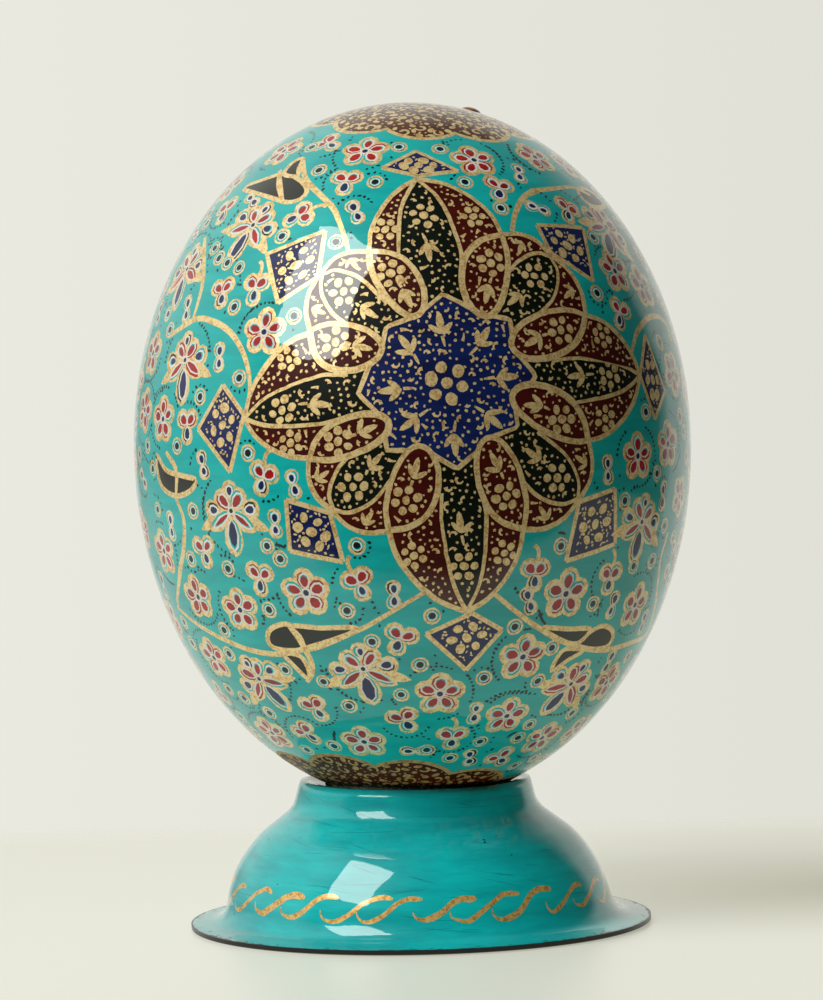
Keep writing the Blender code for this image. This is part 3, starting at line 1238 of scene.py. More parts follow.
@dataclass
class FlowerField:
    """The small flowers scattered over the turquoise ground, with the dotted garlands between them."""

    painter: EggPainter
    camera: PhotoCamera
    rounds: list[np.ndarray] = field(default_factory=list)
    tries: dict[Blossom, int] = field(default_factory=lambda: {
        Blossom.FIVE: 500, Blossom.TRIPLE: 900, Blossom.PAIR: 1400, Blossom.BUD: 2600,
    })

    def paint(self, blocked: np.ndarray) -> None:
        """Paints the garlands and then every flower.

        Args:
            blocked: rows of place and radius that the medallions, vines and caps take up.
        """
        form = self.painter.form
        placed = [(sprig, self.camera.on_egg(form, sprig.pixel)) for sprig in FIELD]
        for sprig, place in placed:
            self.take(place, FLOWERS[sprig.kind].reach * sprig.scale)
        placed.extend(self.strewn(blocked))
        for sprig, place in placed:
            self.painter.twins = not sprig.alone
            self.garland(sprig, place, blocked)
        for sprig, place in placed:
            self.painter.twins = not sprig.alone
            self.flower(sprig, Patch.on(form, place, sprig.turn))

    def take(self, place: np.ndarray, reach: float, alone: bool = False) -> None:
        """Notes that a flower, and its twin unless it stands alone, take up a round place."""
        self.rounds.append(np.array([*place, reach]))
        if not alone:
            self.rounds.append(np.array([-place[0], -place[1], place[2], reach]))

    def strewn(self, blocked: np.ndarray) -> list[tuple[Sprig, np.ndarray]]:
        """Finds places for more flowers wherever the ground is still bare.

        Args:
            blocked: rows of place and radius that are taken by other ornament.

        Returns:
            Sprigs with their places on the egg.
        """
        form, hand = self.painter.form, self.painter.hand
        found = []
        for kind, tries in self.tries.items():
            reach = FLOWERS[kind].reach
            for _ in range(tries):
                height = hand.uniform(form.waist - form.lower * 0.95, form.waist + form.upper * 0.99)
                place = form.at(hand.uniform(-180, 180), height)
                taken = np.concatenate((blocked, np.array(self.rounds)))
                clear, twin_clear = clear_of(np.array([place, place * (-1, -1, 1)]), taken, reach * 0.98)
                if clear:
                    lean = hand.uniform(-60, 60) if kind == Blossom.PAIR else hand.uniform(-180, 180)
                    stem = kind == Blossom.TRIPLE and hand.random() < 0.5
                    sprig = Sprig(kind, (0, 0), lean, hand.uniform(0.88, 1.0), stem, not twin_clear)
                    self.take(place, reach * sprig.scale, sprig.alone)
                    found.append((sprig, place))
        return found

    def garland(self, sprig: Sprig, place: np.ndarray, blocked: np.ndarray) -> None:
        """Paints a dotted line that curls away from a flower.

        Args:
            sprig: the flower.
            place: its middle on the egg.
            blocked: rows of place and radius that the dots keep off.
        """
        hand = self.painter.hand
        others = np.array([row for row in self.rounds if np.linalg.norm(row[:3] - place) > 0.01])
        strands = 2 if sprig.kind in (Blossom.FIVE, Blossom.ORCHID) else 1
        for _ in range(strands):
            patch = Patch.on(self.painter.form, place, hand.uniform(0, 360))
            reach = FLOWERS[sprig.kind].reach * sprig.scale + hand.uniform(0.5, 1.0)
            solid = hand.random() < 0.15
            sweep = hand.uniform(30, 70) if solid else hand.uniform(70, 170)
            count = max(4, round(math.radians(sweep) * reach / 1.0))
            reach = reach + np.linspace(0, hand.uniform(-0.2, 1.6), count)
            points = patch.lay(polar(reach, np.radians(np.linspace(0, sweep, count))))
            points = points[clear_of(points, others, 0.1) & clear_of(points, blocked, 0.3)]
            if solid and len(points) > 3:
                widths = 0.25 + 0.45 * np.sin(np.linspace(0.3, 2.8, len(points)))
                self.painter.stroke(points, widths, Paint.INK)
            else:
                sizes = hand.uniform(0.3, 0.46, len(points))
                self.painter.dots(points, sizes, Paint.INK, sides=5, longest=1.8)

    def flower(self, sprig: Sprig, patch: Patch) -> None:
        """Paints one small flower: its gold, then each petal's white line and colour, then its heart.

        Args:
            sprig: the flower.
            patch: the sheet that it is drawn on.
        """
        kind, scale, hand = FLOWERS[sprig.kind], sprig.scale, self.painter.hand
        petals = []
        for petal in kind.petals:
            petals.append(Petal(
                petal.bearing + hand.uniform(-4, 4), petal.start, petal.length * hand.uniform(0.93, 1.07),
                petal.width * hand.uniform(0.92, 1.08), petal.paint, petal.point,
            ))
        gold = kind.gold
        if sprig.kind is Blossom.ORCHID:
            for side in (-1, 1):
                wing = leaflet(side * 114, 1.0, 8.6, 3.0, point=1.0)
                self.painter.fill(patch.lay(wing * scale), Paint.GOLD)
        for petal in petals:
            shape = leaflet(petal.bearing, petal.start - gold * 0.6, petal.length + gold * 1.6,
                            petal.width + gold * 1.75, petal.point, sides=10)
            self.painter.fill(patch.lay(shape * scale), Paint.GOLD)
        if sprig.stem:
            bend = hand.choice((-1.0, 1.0))
            stations = np.array([[0, 2.2], [0.5 * bend, 4.2], [0.2 * bend, 5.6], [-0.7 * bend, 6.4]]) * scale
            self.painter.stroke(patch.lay(smooth_path(stations, 0.9)), 0.9, Paint.GOLD)
        if sprig.kind is Blossom.BUD:
            self.bud(patch, scale)
            return
        for petal in petals:
            self.petal(petal, patch, scale)
        if kind.heart:
            heart = Paint.PETAL_BLUE if sprig.kind is Blossom.FIVE else Paint.INK
            self.painter.fill(patch.lay(round_outline(kind.heart * 1.6 * scale, 10, hand)), Paint.WHITE)
            self.painter.fill(patch.lay(round_outline(kind.heart * scale, 8, hand)), heart)

    def bud(self, patch: Patch, scale: float) -> None:
        """Paints a bud: a gold ring with a white ring and a dark dot off its middle."""
        hand = self.painter.hand
        way = turned_flat(np.array([[hand.uniform(0.2, 0.4), 0.0]]), hand.uniform(0, 360))
        rings = (
            (1.98, 11, 0.0, Paint.GOLD), (1.5, 9, -0.3, Paint.TURQUOISE), (1.08, 8, 1.3, Paint.INK),
            (1.2, 9, 0.1, Paint.WHITE), (0.88, 8, 0.1, Paint.TURQUOISE), (0.8, 8, -0.35, Paint.INK),
        )
        for radius, sides, share, paint in rings:
            flat = round_outline(radius, sides, hand, 0.05) + way * share
            self.painter.fill(patch.lay(flat * scale), paint)

    def petal(self, petal: Petal, patch: Patch, scale: float) -> None:
        """Paints one petal: a slip of colour or bare ground beside it, then its white line and its colour.

        Args:
            petal: the petal.
            patch: the sheet that its flower is drawn on.
            scale: the flower's scale.
        """
        hand = self.painter.hand
        side = hand.choice((-1.0, 1.0))
        aside = turned_flat(np.array([[side * hand.uniform(0.3, 0.5), 0.0]]), petal.bearing)
        slip = leaflet(petal.bearing, petal.start, petal.length + 0.3, petal.width, petal.point)
        dark = Paint.INK if petal.paint is Paint.PETAL_BLUE else petal.paint
        beside = Paint.TURQUOISE if hand.random() < 0.5 else dark
        self.painter.fill(patch.lay((slip + aside) * scale), beside)
        line = hand.uniform(0.36, 0.52)
        white = leaflet(petal.bearing, petal.start - 0.1, petal.length + 0.25, petal.width + 0.3, petal.point)
        self.painter.fill(patch.lay((white - aside * 0.3) * scale), Paint.WHITE)
        within = leaflet(petal.bearing, petal.start - 0.1 + line, petal.length + 0.25 - 2 * line,
                         petal.width + 0.3 - 2 * line, petal.point)
        if hand.random() < 0.45:
            self.painter.fill(patch.lay((within - aside * 0.3) * scale), Paint.TURQUOISE)
            within = within * (0.93, 0.93) + aside * 0.12
        self.painter.fill(patch.lay((within - aside * 0.25) * scale), petal.paint)


DIAMONDS: list[tuple] = [
    ((267, 254), (325, 231), (318, 277), (278, 303)),
    ((223, 385), (244, 415), (230, 472), (198, 429)),
    ((286, 500), (330, 513), (343, 562), (290, 551)),
    ((579, 502), (615, 489), (615, 544), (566, 561)),
    ((472, 613), (502, 630), (466, 670), (426, 634)),
    ((537, 225), (583, 228), (593, 281), (551, 253)),
    ((416, 151), (458, 171), (418, 176), (382, 168)),
    ((645, 335), (665, 391), (655, 419), (640, 375)),
]


@dataclass
class Vines:
    """Gold vine lines with dark leaves, and the navy diamonds at the medallion's tips."""

    painter: EggPainter
    camera: PhotoCamera
    width: float = 1.15
    stems: tuple = (
        ((303, 160), (307, 181), (333, 208), (345, 237), (348, 252)),
        ((205, 237), (203, 280), (193, 320)),
        ((170, 336), (193, 320), (210, 320), (230, 332), (244, 355), (250, 385), (246, 412)),
        ((176, 498), (184, 522), (183, 553), (178, 582), (177, 598), (179, 610)),
        ((177, 607), (197, 624), (227, 641), (254, 651), (279, 654), (304, 649), (359, 630), (388, 614),
         (425, 592)),
        ((491, 591), (519, 614), (542, 630), (572, 645), (603, 650), (630, 643), (647, 633), (656, 601),
         (660, 563),
         (668, 532)),
        ((512, 231), (515, 214), (524, 197), (543, 187), (568, 186), (590, 195)),
        ((632, 351), (637, 332), (648, 318), (659, 317), (667, 326), (671, 341)),
    )
    leaves: tuple = (
        ((244, 189), (262, 179), (285, 174), (300, 180), (307, 190), (300, 199), (285, 202), (266, 195)),
        ((284, 174), (292, 163), (303, 158), (299, 168), (297, 176)),
        ((157, 455), (166, 470), (183, 476), (196, 480), (190, 491), (176, 496), (163, 488), (158, 474)),
        ((268, 633), (276, 626), (290, 625), (302, 640), (306, 649), (284, 650), (270, 645)),
        ((292, 626), (320, 628), (357, 628), (334, 641), (308, 649), (300, 637)),
        ((284, 654), (300, 656), (308, 668), (309, 679), (296, 668)),
        ((577, 647), (588, 634), (602, 626), (612, 630), (612, 640), (603, 648)),
        ((541, 628), (568, 629), (590, 629), (578, 643), (562, 641)),
        ((584, 650), (568, 660), (552, 671), (557, 658), (566, 649)),
        ((578, 189), (590, 191), (604, 205), (596, 207), (584, 200)),
    )
    bars: tuple = (((280, 170), (279, 186), (283, 203)), ((166, 452), (176, 470), (176, 498)),
                   ((288, 625), (298, 638), (306, 651), (312, 664), (312, 675), (307, 682)))

    def paint(self) -> np.ndarray:
        """Paints all of it.

        Returns:
            Rows of place and radius that it takes up.
        """
        form = self.painter.form
        taken = []
        for leaf in self.leaves:
            outline = smooth_path(self.points(leaf), 1.0, closed=True)
            outline = form.settle(outline)
            self.painter.fill(outline, Paint.LEAF)
            self.painter.stroke(outline, 1.2, Paint.GOLD, closed=True)
            middle = outline.mean(axis=0)
            taken.append((*middle, np.linalg.norm(outline - middle, axis=1).max() * 0.85))
        for stem in (*self.stems, *self.bars):
            line = form.settle(smooth_path(self.points(stem), 1.4))
            swell = 1 + 0.22 * np.sin(np.linspace(0, 5, len(line)) - 0.6)
            self.painter.stroke(line, self.width * swell, Paint.GOLD)
            taken.extend((*point, 0.9) for point in line)
        for corners in DIAMONDS:
            taken.extend(self.diamond(self.points(corners)))
        found = np.array(taken)
        return np.concatenate((found, found * (-1, -1, 1, 1)))

    def points(self, pixels: tuple) -> np.ndarray:
        """Points of the egg that pixels show."""
        return np.array([self.camera.on_egg(self.painter.form, pixel) for pixel in pixels])

    def diamond(self, corners: np.ndarray) -> list[tuple]:
        """Paints a navy diamond with a gold border, seven dots and specks.

        Args:
            corners: its four corners on the egg.

        Returns:
            Rows of place and radius that it takes up.
        """
        form, hand = self.painter.form, self.painter.hand
        sides = [even_steps(np.stack(pair), 1.5) for pair in zip(corners, np.roll(corners, -1, axis=0))]
        outline = form.settle(np.concatenate([side[:-1] for side in sides]))
        self.painter.fill(outline, Paint.NAVY)
        middle = form.settle(corners.mean(axis=0)[None])[0]
        patch = Patch.on(form, middle)
        offsets = corners - middle
        flat = np.stack([offsets @ patch.east, offsets @ patch.north], axis=1)
        square = np.array([[1, 0], [0, 1], [-1, 0], [0, -1]], float)
        spread = np.linalg.lstsq(square, flat, rcond=None)[0]
        angles = np.radians(60.0 * np.arange(6) + 20)
        ring = polar(1.0, angles) * 0.4
        dots = np.concatenate(([[0.0, 0.0]], ring)) @ spread
        size = 0.13 * np.sqrt(abs(np.linalg.det(spread)) * 2)
        sizes = min(1.15, size * 1.25) * hand.uniform(0.85, 1.12, 7)
        self.painter.dots(patch.lay(dots), sizes, Paint.GOLD, sides=9, longest=1.4)
        steps = np.arange(-0.95, 0.96, 1.45 / math.sqrt(abs(np.linalg.det(spread)) * 2))
        grid = np.array([(a, b) for a in steps for b in steps])
        grid = grid + hand.uniform(-0.05, 0.05, grid.shape)
        grid = grid[np.abs(grid).sum(axis=1) < 0.82] @ spread
        if len(grid):
            grid = grid[nearest(grid, dots) > 1.5]
            sizes = hand.uniform(0.24, 0.38, len(grid))
            self.painter.dots(patch.lay(grid), sizes, Paint.GOLD, sides=5, longest=2.4)
        for side in sides:
            self.painter.stroke(form.settle(side), 1.05, Paint.GOLD)
        reach = np.linalg.norm(offsets, axis=1).min()
        rows = [(*point, 0.8) for point in outline]
        return [(*middle, reach * 0.8), *rows]


@dataclass(frozen=True)
class Cap:
    """A scalloped brown cap, with its middle off the egg's axis and the reach of its lobes and notches."""

    middle: tuple[float, float]
    is_crown: bool
    scallops: int
    phase: float
    lobe: float
    notch: float
    bare: float = 0.0

    @property
    def gold(self) -> Paint:
        """The gold that it is drawn with: at the foot a darker copy with less lacquer, painted as shade under
        the egg.
        """
        return Paint.GOLD if self.is_crown else Paint.FOOT_GOLD


CAPS: tuple[Cap, ...] = (
    Cap((4.2, -6.2), True, 9, -1.3, 25.9, 22.6),
    Cap((-5.7, -7.2), False, 9, 8.2, 29.3, 25.6, bare=17.5),
)


@dataclass
class Caps:
    """The scalloped brown caps round the egg's crown and foot, each a little off the egg's axis."""

    painter: EggPainter
    line: float = 1.15
    tries: int = 9000
    margin: float = 1.1
    curl_radius: float = 1.45
    curl_gap: float = 4.2
    curl_room: float = 1.9
    blob_gap: float = 2.3
    blob_room: float = 1.2
    speck_gap: float = 1.15

    def paint(self) -> np.ndarray:
        """Paints both caps, and the turquoise ground between them.

        Returns:
            Rows of place and radius that they take up.
        """
        self.painter.twins = False
        taken = []
        for cap in CAPS:
            patch = Patch.on(self.painter.form, self.middle(cap))
            edge = patch.lay(self.edge(cap, patch))
            if cap.is_crown:
                self.painter.fill(edge, Paint.CAP_BROWN)
            else:
                around = in_order(self.painter.form.chart_of(edge))
                self.painter.skin.outlines.insert(0, around)
                self.painter.skin.paints.insert(0, Paint.TURQUOISE)
            self.filling(cap, patch)
            self.painter.stroke(edge, self.line, cap.gold, closed=True)
            taken.append((*patch.middle, cap.notch * 0.97))
            taken.extend((*point, 1.3) for point in edge)
        self.painter.twins = True
        return np.array(taken)

    def middle(self, cap: Cap) -> np.ndarray:
        """A cap's middle on the egg."""
        form = self.painter.form
        across, deep = cap.middle
        half = form.upper if cap.is_crown else -form.lower
        rise = half * math.sqrt(1 - (across**2 + deep**2) / form.girth**2)
        return np.array([across, deep, form.waist + rise])

    def edge(self, cap: Cap, patch: Patch) -> np.ndarray:
        """A cap's flat scalloped edge."""
        turn = math.radians(cap.phase)
        ahead = np.array([math.sin(turn), -math.cos(turn), 0.0])
        start = math.atan2(ahead @ patch.north, ahead @ patch.east)
        angles = np.linspace(0, TAU, cap.scallops * 14, endpoint=False)
        swell = np.abs(np.cos(angles * cap.scallops / 2)) ** 0.8
        reach = cap.notch + (cap.lobe - cap.notch) * swell
        return polar(reach, angles + start)

    def filling(self, cap: Cap, patch: Patch) -> None:
        """Paints curls, blobs and specks inside a cap."""
        hand = self.painter.hand
        spots = hand.uniform(-cap.lobe, cap.lobe, (self.tries, 2))
        spots = patch.lay(spots[inside_edge(spots, self.edge(cap, patch), self.margin)])
        spots = spots[np.hypot(spots[:, 0], spots[:, 1]) > cap.bare]
        curls = spread_out(spots, self.curl_gap)
        for curl in curls:
            self.curl(curl, cap.gold)
        spots = spots[nearest(spots, curls) > self.curl_room]
        blobs = spread_out(spots, self.blob_gap)
        self.painter.dots(blobs, hand.uniform(0.6, 0.95, len(blobs)), cap.gold, sides=8, longest=1.7)
        spots = spots[nearest(spots, blobs) > self.blob_room]
        specks = spread_out(spots, self.speck_gap)
        self.painter.dots(specks, hand.uniform(0.22, 0.36, len(specks)), cap.gold, sides=5)

    def curl(self, place: np.ndarray, gold: Paint) -> None:
        """Paints a curl of gold."""
        hand = self.painter.hand
        sweep = np.linspace(0, math.radians(hand.uniform(230, 330)), 9)
        reach = np.linspace(self.curl_radius, 0.55, 9) * hand.uniform(0.85, 1.1)
        flat = polar(reach, sweep)
        points = Patch.on(self.painter.form, place, hand.uniform(0, 360)).lay(flat)
        self.painter.stroke(points, np.linspace(0.45, 0.85, 9), gold)


def spread_out(spots: np.ndarray, gap: float) -> np.ndarray:
    """Keeps spots in order wherever no spot kept before is nearer than the gap.

    Args:
        spots: points, one a row.
        gap: least distance between kept points.

    Returns:
        The kept points.
    """
    kept = np.empty((0, spots.shape[1]))
    for spot in spots:
        if len(kept) == 0 or ((kept - spot) ** 2).sum(axis=1).min() > gap**2:
            kept = np.concatenate((kept, spot[None]))
    return kept


Socket = bpy.types.NodeSocket
Tree = bpy.types.NodeTree


def new_group(name: str, inputs: dict[str, float], outputs: tuple[str, ...]) -> Tree:
    """Makes an empty shader node group with named sockets.

    Args:
        name: the group's name.
        inputs: name and default of each number it takes.
        outputs: name of each number it gives.

    Returns:
        The group, with its input and output nodes in place.
    """
    tree = bpy.data.node_groups.new(name, "ShaderNodeTree")
    for label, value in inputs.items():
        socket = tree.interface.new_socket(name=label, in_out="INPUT", socket_type="NodeSocketFloat")
        socket.default_value = value
    for label in outputs:
        tree.interface.new_socket(name=label, in_out="OUTPUT", socket_type="NodeSocketFloat")
    tree.nodes.new("NodeGroupInput").name = "in"
    tree.nodes.new("NodeGroupOutput").name = "out"
    return tree


def shaded(colour: tuple[float, ...], share: float = 1.0) -> tuple[float, ...]:
    """A colour at a share of its brightness, with the fourth number that a colour socket takes."""
    return (*(share * part for part in colour), 1.0)


def feed(tree: Tree, socket: Socket, value: float | tuple | Socket) -> None:
    """Links a socket to another, or sets its own number or colour."""
    if isinstance(value, Socket):
        tree.links.new(value, socket)
    else:
        socket.default_value = value


def math_node(tree: Tree, operation: str, *values: float | Socket) -> Socket:
    """Adds a Math node.

    Args:
        tree: the node tree.
        operation: what it works out.
        values: numbers or sockets that feed it, in order.

    Returns:
        The node's output.
    """
    node = tree.nodes.new("ShaderNodeMath")
    node.operation = operation
    for socket, value in zip(node.inputs, values):
        feed(tree, socket, value)
    return node.outputs[0]


def noise_node(tree: Tree, place: Socket, scale: float | Socket, detail: float,
               rough: float = 0.55) -> Socket:
    """Adds a Noise texture.

    Args:
        tree: the node tree.
        place: the coordinates that it reads.
        scale: its scale.
        detail: its detail.
        rough: its roughness.

    Returns:
        The noise's value.
    """
    node = tree.nodes.new("ShaderNodeTexNoise")
    node.inputs["Detail"].default_value = detail
    node.inputs["Roughness"].default_value = rough
    tree.links.new(place, node.inputs["Vector"])
    feed(tree, node.inputs["Scale"], scale)
    return node.outputs["Fac"]


def range_node(tree: Tree, value: Socket, low: float, high: float,
               to_low: float = 0.0, to_high: float = 1.0) -> Socket:
    """Adds a clamped Map Range node.

    Args:
        tree: the node tree.
        value: what is mapped.
        low: value that gives to_low.
        high: value that gives to_high.
        to_low: result at the low end.
        to_high: result at the high end.

    Returns:
        The node's output.
    """
    node = tree.nodes.new("ShaderNodeMapRange")
    tree.links.new(value, node.inputs["Value"])
    for label, number in (("From Min", low), ("From Max", high), ("To Min", to_low), ("To Max", to_high)):
        node.inputs[label].default_value = number
    return node.outputs["Result"]


def mix_node(tree: Tree, share: Socket | float, first: Socket | tuple, second: Socket | tuple) -> Socket:
    """Adds a colour Mix node.

    Args:
        tree: the node tree.
        share: how much of the second colour is taken.
        first: colour at a share of 0.
        second: colour at a share of 1.

    Returns:
        The node's output.
    """
    node = tree.nodes.new("ShaderNodeMix")
    node.data_type = "RGBA"
    for number, value in ((0, share), (6, first), (7, second)):
        feed(tree, node.inputs[number], value)
    return node.outputs[2]


def object_place(tree: Tree, stretch: tuple[float, float, float] = (1.0, 1.0, 1.0)) -> Socket:
    """Object coordinates, stretched along the axes."""
    place = tree.nodes.new("ShaderNodeTexCoord")
    mapping = tree.nodes.new("ShaderNodeMapping")
    mapping.inputs["Scale"].default_value = stretch
    tree.links.new(place.outputs["Object"], mapping.inputs["Vector"])
    return mapping.outputs["Vector"]


def brush_group() -> Tree:
    """Streaks left by a brush that went round the object, as a mask and a height."""
    tree = new_group("brush_streaks", {"Streaks": 420.0, "Patches": 60.0}, ("Mask", "Height"))
    given, out = tree.nodes["in"], tree.nodes["out"]
    round_about = object_place(tree, (0.16, 0.16, 1.0))
    fine = noise_node(tree, round_about, given.outputs["Streaks"], 6.0, 0.62)
    broad = noise_node(tree, object_place(tree, (0.5, 0.5, 1.0)), given.outputs["Patches"], 3.0)
    both = math_node(tree, "MULTIPLY_ADD", fine, 0.6, math_node(tree, "MULTIPLY", broad, 0.4))
    tree.links.new(range_node(tree, both, 0.36, 0.64), out.inputs["Mask"])
    tree.links.new(fine, out.inputs["Height"])
    return tree


def speckle_group() -> Tree:
    """Fine grains in metallic paint, as a mask of dark grains and a height."""
    tree = new_group("metallic_grains", {"Grains": 2200.0, "Strokes": 700.0}, ("Mask", "Height"))
    given, out = tree.nodes["in"], tree.nodes["out"]
    place = object_place(tree)
    grains = noise_node(tree, place, given.outputs["Grains"], 3.0, 0.7)
    strokes = noise_node(tree, place, given.outputs["Strokes"], 4.0)
    both = math_node(tree, "MULTIPLY_ADD", grains, 0.55, math_node(tree, "MULTIPLY", strokes, 0.45))
    tree.links.new(range_node(tree, both, 0.40, 0.53), out.inputs["Mask"])
    tree.links.new(both, out.inputs["Height"])
    return tree


def lacquer_group() -> Tree:
    """Unevenness of brushed lacquer with a little dust in it, as a roughness and a height."""
    tree = new_group("lacquer_film", {"Smooth": 0.2, "Dull": 0.34}, ("Roughness", "Height"))
    given, out = tree.nodes["in"], tree.nodes["out"]
    place = object_place(tree)
    waves = noise_node(tree, place, 150.0, 2.0)
    dust = noise_node(tree, place, 1500.0, 1.0)
    spots = range_node(tree, dust, 0.7, 0.78)
    span = math_node(tree, "SUBTRACT", given.outputs["Dull"], given.outputs["Smooth"])
    rough = math_node(tree, "MULTIPLY_ADD", waves, span, given.outputs["Smooth"])
    tree.links.new(rough, out.inputs["Roughness"])
    tree.links.new(math_node(tree, "MULTIPLY_ADD", spots, 0.4, waves), out.inputs["Height"])
    return tree


@dataclass(frozen=True)
class PaintFinish:
    """One paint under clear lacquer, with its colour where it is thick and where it is thin."""

    paint: Paint
    thick: tuple[float, float, float]
    thin: tuple[float, float, float]
    grainy: bool = False
    metallic: float = 0.0
    smooth: float = 0.34
    dull: float = 0.5
    sheen: float = 0.15
    relief: float = 0.25
    coat: float = 1.0

    def build(self, groups: dict[str, Tree]) -> bpy.types.Material:
        """Makes the paint's material.

        Args:
            groups: the shared node groups by name.

        Returns:
            The material.
        """
        material = bpy.data.materials.new(self.paint.value)
        material.use_nodes = True
        tree = material.node_tree
        shader = tree.nodes["Principled BSDF"]
        effect = tree.nodes.new("ShaderNodeGroup")
        effect.node_tree = groups["metallic_grains" if self.grainy else "brush_streaks"]
        film = tree.nodes.new("ShaderNodeGroup")
        film.node_tree = groups["lacquer_film"]
        film.inputs["Smooth"].default_value = self.smooth
        film.inputs["Dull"].default_value = self.dull
        colour = mix_node(tree, effect.outputs["Mask"], shaded(self.thin), shaded(self.thick))
        tree.links.new(colour, shader.inputs["Base Color"])
        tree.links.new(film.outputs["Roughness"], shader.inputs["Roughness"])
        height = math_node(tree, "MULTIPLY_ADD", effect.outputs["Height"], 0.7, film.outputs["Height"])
        bump = tree.nodes.new("ShaderNodeBump")
        bump.inputs["Strength"].default_value = self.relief
        bump.inputs["Distance"].default_value = 0.15 * MM
        tree.links.new(height, bump.inputs["Height"])
        tree.links.new(bump.outputs["Normal"], shader.inputs["Normal"])
        shader.inputs["Metallic"].default_value = self.metallic
        shader.inputs["Specular IOR Level"].default_value = self.sheen
        shader.inputs["Coat Weight"].default_value = self.coat
        shader.inputs["Coat Roughness"].default_value = 0.03
        shader.inputs["Coat IOR"].default_value = 1.5
        return material


FINISHES: tuple[PaintFinish, ...] = (
    PaintFinish(Paint.TURQUOISE, (0.005, 0.56, 0.53), (0.003, 0.40, 0.40)),
    PaintFinish(Paint.GOLD, (1.0, 0.775, 0.365), (0.64, 0.38, 0.12), grainy=True, metallic=0.35, relief=0.6),
    PaintFinish(Paint.MAROON, (0.085, 0.006, 0.003), (0.042, 0.003, 0.002)),
    PaintFinish(Paint.LEAF, (0.004, 0.010, 0.005), (0.002, 0.004, 0.002)),
    PaintFinish(Paint.NAVY, (0.006, 0.024, 0.145), (0.005, 0.006, 0.042)),
    PaintFinish(Paint.PETAL_BLUE, (0.010, 0.024, 0.115), (0.005, 0.012, 0.06)),
    PaintFinish(Paint.PETAL_RED, (0.55, 0.014, 0.010), (0.24, 0.007, 0.006)),
    PaintFinish(Paint.WHITE, (0.92, 0.88, 0.82), (0.74, 0.72, 0.67)),
    PaintFinish(Paint.INK, (0.003, 0.010, 0.009), (0.002, 0.014, 0.013)),
    PaintFinish(Paint.CAP_BROWN, (0.12, 0.032, 0.012), (0.06, 0.014, 0.006)),
    PaintFinish(Paint.STAND_BLUE, (0.003, 0.60, 0.61), (0.002, 0.38, 0.41), relief=0.35),
    PaintFinish(Paint.STAND_SCRATCH, (0.002, 0.40, 0.43), (0.001, 0.22, 0.25), relief=0.35),
    PaintFinish(Paint.STAND_GOLD, (0.94, 0.57, 0.185), (0.48, 0.24, 0.05), grainy=True, metallic=0.35,
                relief=0.5),
    PaintFinish(Paint.STAND_BLACK, (0.010, 0.009, 0.008), (0.004, 0.004, 0.004), coat=0.4),
    PaintFinish(Paint.FILLER, (0.34, 0.17, 0.085), (0.16, 0.065, 0.03), relief=0.6),
    # The foot cap's brown and gold: darker copies of the cap's brown and the gold, with less lacquer, painted
    # darker as shade where the egg's underside faces the stand.
    PaintFinish(Paint.FOOT_BROWN, (0.115, 0.016, 0.004), (0.04, 0.006, 0.002), sheen=0.05, coat=0.12),
    PaintFinish(Paint.FOOT_GOLD, (0.56, 0.37, 0.14), (0.25, 0.15, 0.05), grainy=True, sheen=0.05,
                relief=0.6, coat=0.12),
)


def build_finishes() -> list[bpy.types.Material]:
    """Makes every paint's material, in the order of Paint."""
    groups = {tree.name: tree for tree in (brush_group(), speckle_group(), lacquer_group())}
    made = {finish.paint: finish.build(groups) for finish in FINISHES}
    return [made[paint] for paint in Paint]


def build_piece(name: str, points: np.ndarray, faces: list, slots: np.ndarray, normals: np.ndarray,
                materials: list[bpy.types.Material]) -> bpy.types.Object:
    """Makes an object from faces with a material and normals for each.

    Args:
        name: the object's name.
        points: vertices in millimetres.
        faces: rows of vertex numbers.
        slots: number of the material on each face.
        normals: unit normals, one for each corner of each face in order.
        materials: all materials; those that no face wears are left out.

    Returns:
        The object.
    """
    data = bpy.data.meshes.new(name)
    data.from_pydata((points * MM).tolist(), [], faces)
    worn = sorted(set(slots.tolist()))
    for number in worn:
        data.materials.append(materials[number])
    renumbered = np.searchsorted(worn, slots).astype(np.int32)
    data.polygons.foreach_set("material_index", renumbered)
    data.shade_smooth()
    data.normals_split_custom_set(normals.tolist())
    data.update()
    return in_scene(name, data)


